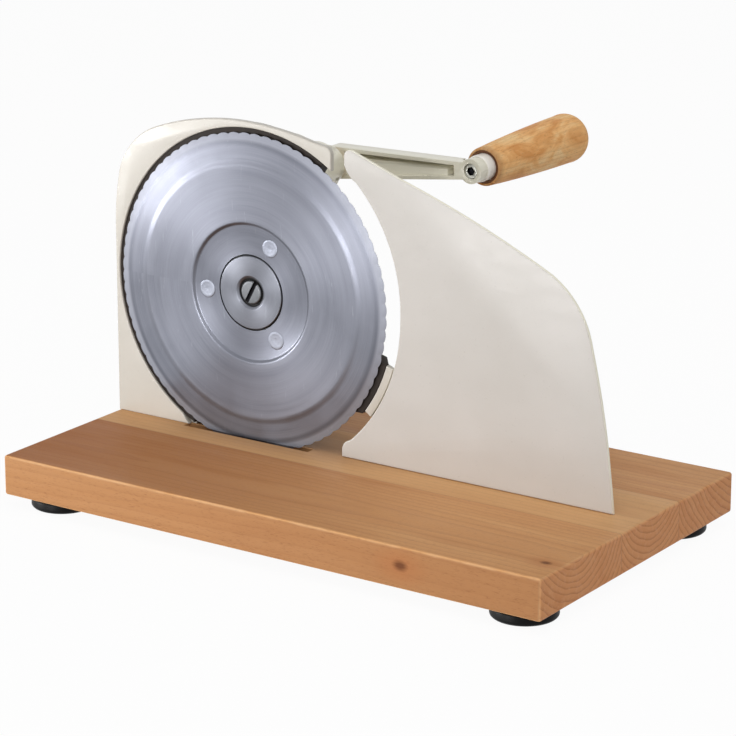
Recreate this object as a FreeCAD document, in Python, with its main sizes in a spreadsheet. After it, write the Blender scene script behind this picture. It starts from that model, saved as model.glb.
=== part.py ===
import FreeCAD, Part
import Sketcher
import math
import os

# Hand cranked bread slicer on a wooden board.
# The food slides over the board from the front, the blade turns in the plane
# of the two upright plates, and the slice passes between the blade's edge and
# the stop plate. X runs to the right along the board, Y to the rear and Z up.

DOC = FreeCAD.newDocument("bread_slicer")
SHEET = DOC.addObject("Spreadsheet::Sheet", "Sizes")

# Driving sizes in millimetres, degrees and tooth counts
DRIVING_SIZES = {
    "board_length": 345.0,
    "board_width": 200.0,
    "board_thickness": 22.8,
    "board_round": 1.6,
    "plate_strip": 1.8,
    "board_front_of_face": 101.9,
    "foot_radius": 18.0,
    "foot_height": 8.0,
    "foot_inset": 23.0,
    "blade_sink": 5.8,
    "blade_radius": 90.0,
    "blade_thickness": 1.25,
    "blade_fold_radius": 72.8,
    "blade_recess_radius": 38.6,
    "blade_hole_radius": 21.7,
    "blade_tooth_depth": 0.9,
    "blade_teeth": 76,
    "rivet_circle_radius": 30.0,
    "rivet_head_radius": 5.2,
    "rivet_shank_radius": 2.5,
    "rivet_count": 3,
    "rivet_angle": 64.0,
    "cap_radius": 21.3,
    "countersink_radius": 7.8,
    "blade_screw_head_radius": 6.8,
    "blade_screw_radius": 3.0,
    "gear_module": 1.5,
    "blade_gear_teeth": 48,
    "crank_gear_teeth": 34,
    "crank_offset": 6.5,
    "gear_back": 7.6,
    "plate_thickness": 3.4,
    "blade_clearance": 3.4,
    "pit_floor_front": 10.0,
    "pit_floor_back": 13.5,
    "pit_wall": 2.6,
    "lip_width": 4.4,
    "slice_low_angle": -20.5,
    "slice_high_angle": 61.5,
    "slice_floor_inset": 12.0,
    "stub_radius": 6.0,
    "shaft_radius": 6.0,
    "bush_wall": 2.5,
    "running_gap": 0.05,
    "end_gap": 0.3,
    "cover_depth": 18.5,
    "cover_wall": 2.6,
    "cover_low_radius": 46.0,
    "cover_high_radius": 24.0,
    "arm_front": 69.0,
    "arm_depth": 10.5,
    "arm_reach": 92.2,
    "arm_rise_angle": 4.3,
    "arm_hub_radius": 9.3,
    "arm_end_half_height": 4.7,
    "arm_flange": 2.2,
    "arm_web": 2.5,
    "eye_radius": 7.0,
    "eye_depth": 7.2,
    "handle_pin_radius": 4.0,
    "ferrule_radius": 7.6,
    "ferrule_length": 10.1,
    "ferrule_insert": 3.7,
    "grip_front_radius": 10.9,
    "grip_back_radius": 14.1,
    "grip_length": 98.0,
    "stop_thickness": 2.2,
    "stop_clearance": 0.4,
    "stop_travel": 15.0,
    "slide_centre_right_of_axis": 136.0,
    "slide_centre_height": 62.0,
    "rod_radius": 4.0,
    "rod_spacing": 44.0,
    "spindle_radius": 5.0,
    "bracket_front": 54.0,
    "bracket_web": 10.0,
    "knob_radius": 19.0,
    "knob_depth": 18.0,
    "knob_ribs": 18,
}


class Size:
    """A number together with the sheet expression that gives it."""

    def __init__(self, value, text):
        self.value = float(value)
        self.text = text

    def __add__(self, other):
        return combine(self, other, "+")

    def __radd__(self, other):
        return combine(other, self, "+")

    def __sub__(self, other):
        return combine(self, other, "-")

    def __rsub__(self, other):
        return combine(other, self, "-")

    def __mul__(self, other):
        return combine(self, other, "*")

    def __rmul__(self, other):
        return combine(other, self, "*")

    def __truediv__(self, other):
        return combine(self, other, "/")

    def __neg__(self):
        return combine(0, self, "-")

    def __float__(self):
        return self.value


def combine(left, right, sign):
    """Size for a sum, difference, product or quotient of two sizes."""
    a = float(left)
    b = float(right)
    results = {"+": a + b, "-": a - b, "*": a * b, "/": a / b if b else 0.0}
    left_text = left.text if isinstance(left, Size) else repr(left)
    right_text = right.text if isinstance(right, Size) else repr(right)
    return Size(results[sign], "(" + left_text + " " + sign + " " + right_text + ")")


def root(size):
    """Size for a square root."""
    return Size(math.sqrt(float(size)), "sqrt(" + size.text + ")")


class SizeTable:
    """The driving sizes, each as an attribute with its alias as name."""


def fill_sheet():
    """Writes the driving sizes into the sheet and returns them by name."""
    table = SizeTable()
    for row, (alias, number) in enumerate(DRIVING_SIZES.items(), start=1):
        SHEET.set("A" + str(row), alias)
        SHEET.set("B" + str(row), str(number))
        SHEET.setAlias("B" + str(row), alias)
        setattr(table, alias, Size(number, "Sizes." + alias))
    DOC.recompute()
    return table


S = fill_sheet()

# Sizes that follow from the driving ones
CUT_RADIUS = S.blade_radius + S.blade_clearance
BOARD_LEFT = CUT_RADIUS + S.plate_strip
AXIS_HEIGHT = S.blade_radius - S.blade_sink
AXIS_DISTANCE = S.gear_module * (S.blade_gear_teeth + S.crank_gear_teeth) / 2
GRIP_FRONT = S.arm_front + S.eye_depth + S.ferrule_length - S.ferrule_insert
REACH_BEHIND_FACE = GRIP_FRONT + S.grip_length
BOARD_TOP = S.board_thickness + S.foot_height
AXIS_X = BOARD_LEFT - S.board_length / 2
FACE_Y = (S.board_front_of_face - REACH_BEHIND_FACE) / 2
AXIS_Z = BOARD_TOP + AXIS_HEIGHT
CRANK_RISE = root(AXIS_DISTANCE * AXIS_DISTANCE - S.crank_offset * S.crank_offset)
CRANK_LEAN = math.degrees(math.asin(float(S.crank_offset) / float(AXIS_DISTANCE)))
CRANK_X = AXIS_X + S.crank_offset
CRANK_Z = AXIS_Z + CRANK_RISE
ARM_RISE = math.radians(float(S.arm_rise_angle))
EYE_X = CRANK_X + S.arm_reach * math.cos(ARM_RISE)
EYE_Z = CRANK_Z + S.arm_reach * math.sin(ARM_RISE)
SLIDE_X = AXIS_X + S.slide_centre_right_of_axis
SLIDE_Z = BOARD_TOP + S.slide_centre_height

SUB_PARTS = []


def vector(point):
    return FreeCAD.Vector(float(point[0]), float(point[1]), 0)


def new_body(label, x=0, y=0, z=0):
    """Empty body of one sub-part, placed in the slicer's frame."""
    body = DOC.addObject("PartDesign::Body", label)
    body.Label = label
    place(body, x, y, z)
    SUB_PARTS.append(body)
    return body


def place(item, x, y, z):
    item.Placement = FreeCAD.Placement(
        FreeCAD.Vector(float(x), float(y), float(z)), FreeCAD.Rotation()
    )
    for axis, amount in (("x", x), ("y", y), ("z", z)):
        if isinstance(amount, Size):
            item.setExpression("Placement.Base." + axis, amount.text)


def origin_plane(body, role):
    for feature in body.Origin.OriginFeatures:
        if feature.Role == role:
            return feature
    raise ValueError(role)


def new_sketch(body, name, role, depth=0):
    """Sketch on one of the body's own planes, moved back by depth.

    On XZ_Plane the sketch is seen from the front: its x is X and its y is Z.
    """
    sketch = body.newObject("Sketcher::SketchObject", body.Label + "_" + name)
    sketch.AttachmentSupport = [(origin_plane(body, role), "")]
    sketch.MapMode = "FlatFace"
    sign = -1 if role == "XZ_Plane" else 1
    sketch.AttachmentOffset = FreeCAD.Placement(
        FreeCAD.Vector(0, 0, sign * float(depth)), FreeCAD.Rotation()
    )
    if isinstance(depth, Size):
        sketch.setExpression("AttachmentOffset.Base.z", (sign * depth).text)
    return sketch


def bind(sketch, kind, geometry, end, amount):
    """Holds one coordinate of a sketch point at a size from the sheet."""
    number = sketch.addConstraint(
        Sketcher.Constraint(kind, -1, 1, geometry, end, float(amount))
    )
    if isinstance(amount, Size):
        sketch.setExpression("Constraints[" + str(number) + "]", amount.text)


def polygon(sketch, corners):
    """Closed polygon whose corners are held by the sheet's sizes."""
    first = sketch.GeometryCount
    count = len(corners)
    for index in range(count):
        start = vector(corners[index])
        end = vector(corners[(index + 1) % count])
        sketch.addGeometry(Part.LineSegment(start, end), False)
    for index in range(count):
        following = first + (index + 1) % count
        sketch.addConstraint(Sketcher.Constraint("Coincident", first + index, 2, following, 1))
    for index, (x, y) in enumerate(corners):
        bind(sketch, "DistanceX", first + index, 1, x)
        bind(sketch, "DistanceY", first + index, 1, y)


def circle(sketch, x, y, radius):
    """Circle whose centre and radius are held by the sheet's sizes."""
    shape = Part.Circle(vector((x, y)), FreeCAD.Vector(0, 0, 1), float(radius))
    number = sketch.addGeometry(shape, False)
    bind(sketch, "DistanceX", number, 3, x)
    bind(sketch, "DistanceY", number, 3, y)
    held = sketch.addConstraint(Sketcher.Constraint("Radius", number, float(radius)))
    if isinstance(radius, Size):
        sketch.setExpression("Constraints[" + str(held) + "]", radius.text)


def curve(sketch, points):
    """Closed outline; a third entry in a point is the middle of its arc."""
    for index, point in enumerate(points):
        start = vector(points[index - 1])
        end = vector(point)
        if len(point) == 3:
            sketch.addGeometry(Part.Arc(start, vector(point[2]), end), False)
        else:
            sketch.addGeometry(Part.LineSegment(start, end), False)


def feature_on(body, kind, sketch, name):
    feature = body.newObject("PartDesign::" + kind, body.Label + "_" + name)
    feature.Profile = sketch
    return feature


def set_length(feature, length):
    feature.Length = float(length)
    if isinstance(length, Size):
        feature.setExpression("Length", length.text)


def pad(body, sketch, length, towards_plus=True):
    """Solid from a sketch; on XZ_Plane plus is to the rear, along +Y."""
    feature = feature_on(body, "Pad", sketch, sketch.Label.split("_")[-1] + "_pad")
    set_length(feature, length)
    rear = "XZ_Plane" in sketch.AttachmentSupport[0][0].Role
    feature.Reversed = rear == towards_plus
    return feature


def pocket(body, sketch, length, towards_plus=True):
    """Cut from a sketch; it fails when the cut removes nothing."""
    DOC.recompute()
    before = body.Shape.Volume
    feature = feature_on(body, "Pocket", sketch, sketch.Label.split("_")[-1] + "_cut")
    set_length(feature, length)
    rear = "XZ_Plane" in sketch.AttachmentSupport[0][0].Role
    feature.Reversed = rear != towards_plus
    DOC.recompute()
    if body.Shape.Volume > before - 0.01:
        raise ValueError("nothing cut by " + feature.Label)
    return feature


def turned(label, corners, x=0, y=0, z=0):
    """Body turned about the Y direction from (radius, depth) corners."""
    body = new_body(label, x, y, z)
    add_turning(body, corners, "profile")
    return body


def add_turning(body, corners, name):
    sketch = new_sketch(body, name, "XY_Plane")
    polygon(sketch, corners)
    revolve(body, sketch, name)


def revolve(body, sketch, name):
    feature = feature_on(body, "Revolution", sketch, name + "_turn")
    feature.ReferenceAxis = (sketch, ["V_Axis"])
    feature.Angle = 360


def drill(body, name, depth, length, centres, radius):
    """Round holes along Y at the given centres, from depth to the rear."""
    sketch = new_sketch(body, name, "XZ_Plane", depth)
    for x, z in centres:
        circle(sketch, x, z, radius)
    pocket(body, sketch, length)


def on_circle(radius, degrees):
    angle = math.radians(degrees)
    return (float(radius) * math.cos(angle), float(radius) * math.sin(angle))


def grouped(label, shapes, x, y, z):
    """Several equal loose pieces kept together in one sub-part."""
    item = DOC.addObject("Part::Feature", label)
    item.Label = label
    item.Shape = Part.makeCompound(shapes)
    place(item, x, y, z)
    SUB_PARTS.append(item)
    return item


def lathe(corners, axis="Y"):
    """Solid of revolution about Y or Z from (radius, height) corners."""
    if axis == "Y":
        points = [FreeCAD.Vector(float(r), float(h), 0) for r, h in corners]
        direction = FreeCAD.Vector(0, 1, 0)
    else:
        points = [FreeCAD.Vector(float(r), 0, float(h)) for r, h in corners]
        direction = FreeCAD.Vector(0, 0, 1)
    face = Part.Face(Part.makePolygon(points + points[:1]))
    return face.revolve(FreeCAD.Vector(0, 0, 0), direction, 360)


def moved(shape, x, y, z):
    copy = shape.copy()
    copy.translate(FreeCAD.Vector(float(x), float(y), float(z)))
    return copy


def hexagon(x, y, across_flats, turn=0):
    corner_radius = float(across_flats) / math.sqrt(3)
    corners = []
    for side in range(6):
        dx, dy = on_circle(corner_radius, turn + 60 * side)
        corners.append((float(x) + dx, float(y) + dy))
    return corners


# Wooden board and its feet

BODY_SCREW_PLACES = ((-84, 30), (-84, 44), (-14, 42), (-48, 42))
BRACKET_SCREW_PLACES = ((-33, 47), (33, 47), (-33, 82), (33, 82))
BLADE_SLOT = ((-46, -3.6), (40, 2.4))
BLADE_SLOT_DEPTH = S.blade_sink + 3.2
WOOD_SCREW_RADIUS = 1.9
BODY_SCREW_RADIUS = 2.5
BODY_SCREW_HEAD_RADIUS = 4.8


def foot_places():
    left = S.foot_inset - S.board_length / 2
    right = S.board_length / 2 - S.foot_inset
    front = FACE_Y - S.board_front_of_face + S.foot_inset
    rear = front + S.board_width - S.foot_inset * 2
    return {
        "front_left": (left, front),
        "front_right": (right, front),
        "rear_left": (left, rear),
        "rear_right": (right, rear),
    }


def make_board():
    """Glued wooden board with rounded edges and a slot for the blade."""
    front = FACE_Y - S.board_front_of_face
    body = new_body("base_board", 0, 0, S.foot_height)
    outline = new_sketch(body, "outline", "XY_Plane")
    half = S.board_length / 2
    rear = front + S.board_width
    polygon(outline, [(-half, front), (half, front), (half, rear), (-half, rear)])
    block = pad(body, outline, S.board_thickness)
    DOC.recompute()
    rounding = body.newObject("PartDesign::Fillet", "base_board_rounding")
    rounding.Base = (block, ["Edge" + str(n + 1) for n in range(12)])
    rounding.Radius = float(S.board_round)
    rounding.setExpression("Radius", S.board_round.text)
    DOC.recompute()
    slot = new_sketch(body, "slot", "XY_Plane", S.board_thickness)
    (x0, y0), (x1, y1) = BLADE_SLOT
    polygon(slot, [
        (AXIS_X + x0, FACE_Y + y0), (AXIS_X + x1, FACE_Y + y0),
        (AXIS_X + x1, FACE_Y + y1), (AXIS_X + x0, FACE_Y + y1),
    ])
    pocket(body, slot, BLADE_SLOT_DEPTH, False)
    pilots = new_sketch(body, "pilots", "XY_Plane")
    for x, y in foot_places().values():
        circle(pilots, x, y, WOOD_SCREW_RADIUS)
    pocket(body, pilots, 14)
    through = new_sketch(body, "through", "XY_Plane")
    heads = new_sketch(body, "heads", "XY_Plane")
    for x, y in BODY_SCREW_PLACES:
        circle(through, AXIS_X + x, FACE_Y + y, BODY_SCREW_RADIUS)
        circle(heads, AXIS_X + x, FACE_Y + y, BODY_SCREW_HEAD_RADIUS + 0.4)
    pocket(body, through, S.board_thickness)
    pocket(body, heads, 6)
    anchors = new_sketch(body, "anchors", "XY_Plane", S.board_thickness)
    for x, y in BRACKET_SCREW_PLACES:
        circle(anchors, SLIDE_X + x, FACE_Y + y, WOOD_SCREW_RADIUS)
    pocket(body, anchors, 15, False)


def make_feet():
    """Four rubber feet with a recess for their screw."""
    tall = S.foot_height
    for name, (x, y) in foot_places().items():
        body = new_body("foot_" + name, x, y, 0)
        sketch = new_sketch(body, "profile", "XZ_Plane")
        polygon(sketch, [
            (2.2, 3.6), (5.6, 3.6), (5.6, 0), (S.foot_radius - 1.4, 0),
            (S.foot_radius, 1.4), (S.foot_radius - 0.6, tall - 2.2),
            (S.foot_radius - 3.2, tall - 0.8), (S.foot_radius - 3.2, tall), (2.2, tall),
        ])
        feature = feature_on(body, "Revolution", sketch, "turn")
        feature.ReferenceAxis = (sketch, ["V_Axis"])
        feature.Angle = 360
    screw = lathe([
        (0, 1.4), (3.2, 1.4), (4.0, 2.2), (4.0, 3.6), (WOOD_SCREW_RADIUS, 3.6),
        (WOOD_SCREW_RADIUS, 19.0), (0, 21.5),
    ], "Z")
    grouped("foot_screws", [moved(screw, x, y, 0) for x, y in foot_places().values()], 0, 0, 0)


# Cast body that carries the blade and the crank

COVER_SCREW_PLACES = [
    on_circle(radius, angle - CRANK_LEAN)
    for radius, angle in ((41.0, 200.0), (41.0, -20.0), (49.7, 122.3), (49.7, 57.7))
]
COVER_SCREW_RADIUS = 1.6
CRANK_BOSS_RADIUS = 13
OPEN_UNDER_PIT = 27.0


def sector(sketch, inner, outer, low, high):
    """Sector of a ring about the blade's axis."""
    middle = (low + high) / 2
    curve(sketch, [
        on_circle(inner, low) + (on_circle(inner, middle),),
        on_circle(outer, low),
        on_circle(outer, high) + (on_circle(outer, middle),),
        on_circle(inner, high),
    ])


def front_plate_outline(sketch):
    """Left plate: straight left edge, round shoulder and cut-out for the blade."""
    floor = -float(AXIS_HEIGHT)
    cut = float(CUT_RADIUS)
    left = -float(BOARD_LEFT)
    tip_x, tip_z = on_circle(cut, 54.68)
    toe_z = floor + 6.0
    toe_x = -math.sqrt(cut ** 2 - toe_z ** 2)
    curve(sketch, [
        (left, floor),
        (left, 24.0),
        on_circle(cut + 15.5, 146.9) + (on_circle(cut + 10.8, 154.2),),
        on_circle(cut + 14.5, 127.7) + (on_circle(cut + 17.4, 138.7),),
        on_circle(cut + 6.7, 108.9) + (on_circle(cut + 10.0, 118.3),),
        on_circle(cut + 3.8, 86.7) + (on_circle(cut + 4.5, 98.0),),
        on_circle(cut + 7.8, 65.1) + (on_circle(cut + 4.9, 76.0),),
        on_circle(cut + 9.2, 61.5),
        (tip_x, tip_z + 8.8, on_circle(cut + 9.7, 59.3)),
        (tip_x, tip_z),
        (toe_x, toe_z, on_circle(cut, 165)),
        (toe_x + 4.6, floor),
    ])


def make_body_casting():
    """Front plate, blade pit, bearing bosses, ribs and foot in one casting."""
    body = new_body("body_casting", AXIS_X, FACE_Y, AXIS_Z)
    plate = new_sketch(body, "plate", "XZ_Plane")
    front_plate_outline(plate)
    pad(body, plate, S.plate_thickness)
    cut = CUT_RADIUS
    lip = S.plate_thickness - 0.2
    front = S.pit_floor_front
    back = S.pit_floor_back
    add_turning(body, [
        (5.1, front), (cut - 5.9, front), (cut, lip), (cut + S.pit_wall, lip),
        (cut - 2.6, back), (14, back), (14, back + 4.5), (5.1, back + 4.5),
    ], "pit")
    boss = new_sketch(body, "boss", "XZ_Plane", front)
    circle(boss, S.crank_offset, CRANK_RISE, CRANK_BOSS_RADIUS)
    pad(body, boss, 10)
    low = float(S.slice_low_angle)
    high = float(S.slice_high_angle)
    opening = new_sketch(body, "sector", "XZ_Plane", S.plate_thickness - 1)
    sector(opening, S.blade_radius - S.slice_floor_inset, cut + 8, low, high)
    pocket(body, opening, 12)
    floor = -AXIS_HEIGHT
    lip_sketch = new_sketch(body, "lip", "XZ_Plane", 1.2)
    sector(lip_sketch, cut, cut + S.lip_width, low - 16, low)
    pad(body, lip_sketch, 4.0)
    under = new_sketch(body, "under", "XZ_Plane", 3.0)
    polygon(under, [
        (-42, floor - 30), (110, floor - 30), (110, floor + OPEN_UNDER_PIT),
        (-42, floor + OPEN_UNDER_PIT),
    ])
    pocket(body, under, 14)
    below = new_sketch(body, "below", "XZ_Plane", -1.0)
    polygon(below, [(-120, floor - 30), (120, floor - 30), (120, floor), (-120, floor)])
    pocket(body, below, 18)
    flange = new_sketch(body, "flange", "XY_Plane", floor)
    side = 2.2 - BOARD_LEFT
    polygon(flange, [
        (side, 2.6), (side + 37, 2.6), (side + 37, 14), (side + 89, 14), (side + 89, 50),
        (side, 50),
    ])
    pad(body, flange, 7.0)
    column = new_sketch(body, "column", "XZ_Plane", 12.0)
    curve(column, [
        (-76.0, floor + 6.0), (-8.0, floor + 6.0), (-14.0, floor + 34.0),
        (-64.0, floor + 46.0, (-44.0, floor + 37.0)),
    ])
    pad(body, column, 22.0)
    rib = new_sketch(body, "rib", "YZ_Plane", side + 1.0)
    polygon(rib, [(2.6, floor + 6), (40, floor + 6), (10, floor + 40), (2.6, floor + 48)])
    pad(body, rib, 4.0)
    drill(body, "crankbore", 9.0, 12, [(S.crank_offset, CRANK_RISE)], S.shaft_radius + S.bush_wall)
    drill(body, "coverholes", 9.0, 6, COVER_SCREW_PLACES, COVER_SCREW_RADIUS)
    screws = new_sketch(body, "screwholes", "XY_Plane", floor)
    for x, y in BODY_SCREW_PLACES:
        circle(screws, x, y, BODY_SCREW_RADIUS)
    pocket(body, screws, 6.4)
    screw = lathe([
        (0, 2.6), (BODY_SCREW_HEAD_RADIUS - 1, 2.6), (BODY_SCREW_HEAD_RADIUS, 3.4),
        (BODY_SCREW_HEAD_RADIUS, 6.0), (BODY_SCREW_RADIUS, 6.0),
        (BODY_SCREW_RADIUS, S.board_thickness + 6), (0, S.board_thickness + 6),
    ], "Z")
    places = [moved(screw, x, y, 0) for x, y in BODY_SCREW_PLACES]
    grouped("body_screws", places, AXIS_X, FACE_Y, S.foot_height)


def make_guard_ring():
    """Dark ring between the blade's rim and the casting's pit."""
    body = new_body("guard_ring", AXIS_X, FACE_Y, AXIS_Z)
    rim = S.blade_radius
    cut = CUT_RADIUS
    lip = S.plate_thickness - 0.2
    add_turning(body, [
        (rim - 16, 5.5), (rim - 8, 5.5), (rim - 3.6, 1.3), (cut - 0.4, 1.3), (cut - 0.4, lip),
        (cut, lip), (cut - 5.9, S.pit_floor_front), (rim - 16, S.pit_floor_front),
    ], "ring")
    low = float(S.slice_low_angle) + 3.5
    high = float(S.slice_high_angle) - 5.0
    opening = new_sketch(body, "sector", "XZ_Plane", 0.5)
    sector(opening, S.blade_radius - S.slice_floor_inset, cut + 8, low, high)
    pocket(body, opening, 12)
    bite = new_sketch(body, "bite", "XZ_Plane", 0.5)
    circle(bite, S.crank_offset, CRANK_RISE, S.gear_module * (S.crank_gear_teeth / 2 + 1) + 1.2)
    pocket(body, bite, 12)
    floor = -AXIS_HEIGHT
    under = new_sketch(body, "under", "XZ_Plane", 0.5)
    polygon(under, [
        (-42, floor - 30), (110, floor - 30), (110, floor + OPEN_UNDER_PIT),
        (-42, floor + OPEN_UNDER_PIT),
    ])
    pocket(body, under, 12)


def make_gear_cover():
    """Rear cover over the blade's axle nut, with the long crank bearing."""
    body = new_body("gear_cover", AXIS_X, FACE_Y, AXIS_Z)
    back = S.pit_floor_back
    cover_outline(body, "shell", back, 0.0)
    pad(body, body.Group[-1], S.cover_depth)
    cover_outline(body, "hollow", back, float(S.cover_wall))
    pocket(body, body.Group[-1], S.cover_depth - S.cover_wall)
    boss = new_sketch(body, "bosscone", "XZ_Plane", back + S.cover_depth)
    circle(boss, S.crank_offset, CRANK_RISE, 16.5)
    cone = pad(body, boss, S.arm_front - 3.4 - back - S.cover_depth)
    cone.TaperAngle = -4.0
    pillar = new_sketch(body, "pillar", "XZ_Plane", 20.6)
    circle(pillar, S.crank_offset, CRANK_RISE, CRANK_BOSS_RADIUS)
    pad(body, pillar, back + S.cover_depth - 20.6)
    posts = new_sketch(body, "posts", "XZ_Plane", back)
    for x, z in COVER_SCREW_PLACES:
        circle(posts, x, z, 5.0)
    pad(body, posts, S.cover_depth - 0.5)
    drill(body, "crankbore", 20.0, 50, [(S.crank_offset, CRANK_RISE)], S.shaft_radius + S.bush_wall)
    drill(body, "screwheads", 26.0, 10, COVER_SCREW_PLACES, 3.4)
    drill(body, "screwholes", 13.0, 14, COVER_SCREW_PLACES, COVER_SCREW_RADIUS)
    screw = lathe([
        (0, 10.4), (COVER_SCREW_RADIUS, 10.4), (COVER_SCREW_RADIUS, 26.0), (3.1, 26.0),
        (3.1, 27.6), (2.4, 28.4), (0, 28.4),
    ])
    places = [moved(screw, x, 0, z) for x, z in COVER_SCREW_PLACES]
    grouped("cover_screws", places, AXIS_X, FACE_Y, AXIS_Z)


def cover_outline(body, name, depth, inset):
    """Outline round the two gear axes, two arcs joined by tangent lines."""
    sketch = new_sketch(body, name, "XZ_Plane", depth)
    low = float(S.cover_low_radius) - inset
    high = float(S.cover_high_radius) - inset
    rise = float(AXIS_DISTANCE)
    lean = math.degrees(math.asin((low - high) / rise))
    centre_x, centre_z = on_circle(rise, 90 - CRANK_LEAN)

    def high_point(angle):
        x, z = on_circle(high, angle - CRANK_LEAN)
        return (centre_x + x, centre_z + z)

    curve(sketch, [
        on_circle(low, 180 - lean - CRANK_LEAN),
        on_circle(low, lean - CRANK_LEAN) + (on_circle(low, -90),),
        high_point(lean),
        high_point(180 - lean) + (high_point(90),),
    ])
    return sketch


# Blade with its gear, on a fixed stub axle


def rivet_centres():
    step = 360.0 / float(S.rivet_count)
    first = float(S.rivet_angle)
    return [on_circle(S.rivet_circle_radius, first + step * n) for n in range(int(S.rivet_count.value))]


def make_blade():
    """Round blade with a turned down centre, a fold and a scalloped edge."""
    thick = S.blade_thickness
    recess = S.blade_recess_radius
    fold = S.blade_fold_radius
    rim = S.blade_radius
    body = turned("blade", [
        (S.blade_hole_radius, -0.4), (recess - 0.6, -0.4), (recess + 0.8, -1.6),
        (fold, -2.0), (rim - 5, -0.9), (rim, -0.05), (rim, 0.1), (rim - 5, 0.35),
        (fold, thick - 2.0), (recess + 1.3, thick - 1.6), (recess - 0.1, thick - 0.4),
        (S.blade_hole_radius, thick - 0.4),
    ], AXIS_X, FACE_Y, AXIS_Z)
    holes = new_sketch(body, "rivetholes", "XZ_Plane", -1.0)
    for x, z in rivet_centres():
        circle(holes, x, z, S.rivet_shank_radius)
    pocket(body, holes, 3)
    edge = new_sketch(body, "scallops", "XZ_Plane", -3.0)
    curve(edge, scallop_points())
    circle(edge, 0, 0, rim + 3)
    pocket(body, edge, 6)


def scallop_points():
    """Wavy cutting edge of round teeth, with a sharp valley between each two."""
    count = int(S.blade_teeth.value)
    tip = float(S.blade_radius)
    valley = tip - float(S.blade_tooth_depth)
    points = []
    for index in range(count):
        crown = on_circle(tip, 360.0 * (index - 0.5) / count)
        points.append(on_circle(valley, 360.0 * index / count) + (crown,))
    return points


def make_rivets():
    """Rivets that hold the blade to its gear."""
    shank = S.rivet_shank_radius
    head = S.rivet_head_radius
    rivet = lathe([
        (0, -1.3), (head - 1.6, -1.2), (head, -0.4), (shank, -0.4), (shank, 6.6),
        (shank + 1.6, 6.6), (shank + 1.2, 7.4), (0, 7.4),
    ])
    places = [moved(rivet, x, 0, z) for x, z in rivet_centres()]
    grouped("blade_rivets", places, AXIS_X, FACE_Y, AXIS_Z)


def gear_points(teeth, turn):
    """Spur gear outline from involute flanks, tip arcs and root arcs."""
    module = float(S.gear_module)
    pitch = module * teeth / 2.0
    pressure = math.radians(20.0)
    base = pitch * math.cos(pressure)
    tip = pitch + module
    root = pitch - 1.25 * module
    backlash = 0.10
    half_at_pitch = math.pi / (2 * teeth) - backlash / (2 * pitch)
    involute_at_pitch = math.tan(pressure) - pressure
    points = []
    for index in range(teeth):
        middle = turn + 360.0 * index / teeth

        def flank(radius, side):
            roll = math.acos(min(1.0, base / max(radius, base)))
            half = half_at_pitch + involute_at_pitch - (math.tan(roll) - roll)
            return on_circle(radius, middle + side * math.degrees(half))

        foot = max(root + 0.25 * module, base)
        mean = (foot + tip) / 2
        start = on_circle(root, middle - 180.0 / teeth)
        points.append(start)
        points.append(flank(foot, -1))
        points.append(flank(tip, -1) + (flank(mean, -1),))
        points.append(flank(tip, 1))
        points.append(flank(foot, 1) + (flank(mean, 1),))
    return points


def make_blade_gear():
    """Moulded gear on the blade's back, turning on a bush."""
    teeth = int(S.blade_gear_teeth.value)
    thick = S.blade_thickness - 0.4
    body = new_body("blade_gear", AXIS_X, FACE_Y, AXIS_Z)
    wheel = new_sketch(body, "wheel", "XZ_Plane", thick)
    curve(wheel, gear_points(teeth, 90.0 - CRANK_LEAN))
    pad(body, wheel, S.gear_back - thick)
    hub = new_sketch(body, "hub", "XZ_Plane", S.gear_back - 1)
    circle(hub, 0, 0, 14.0)
    pad(body, hub, 2.4)
    seat = new_sketch(body, "seat", "XZ_Plane", 0)
    circle(seat, 0, 0, S.blade_hole_radius + 0.3)
    pocket(body, seat, 2.45)
    drill(body, "bore", 0, 12, [(0, 0)], S.stub_radius + S.bush_wall)
    drill(body, "rivetholes", 0, 6.6, rivet_centres(), S.rivet_shank_radius)
    drill(body, "rivettails", 6.6, 3, rivet_centres(), S.rivet_shank_radius + 1.7)
    turned("blade_bush", [
        (S.stub_radius + S.running_gap, 2.6), (S.stub_radius + S.bush_wall, 2.6),
        (S.stub_radius + S.bush_wall, 9.0), (S.stub_radius + S.running_gap, 9.0),
    ], AXIS_X, FACE_Y, AXIS_Z)


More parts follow.
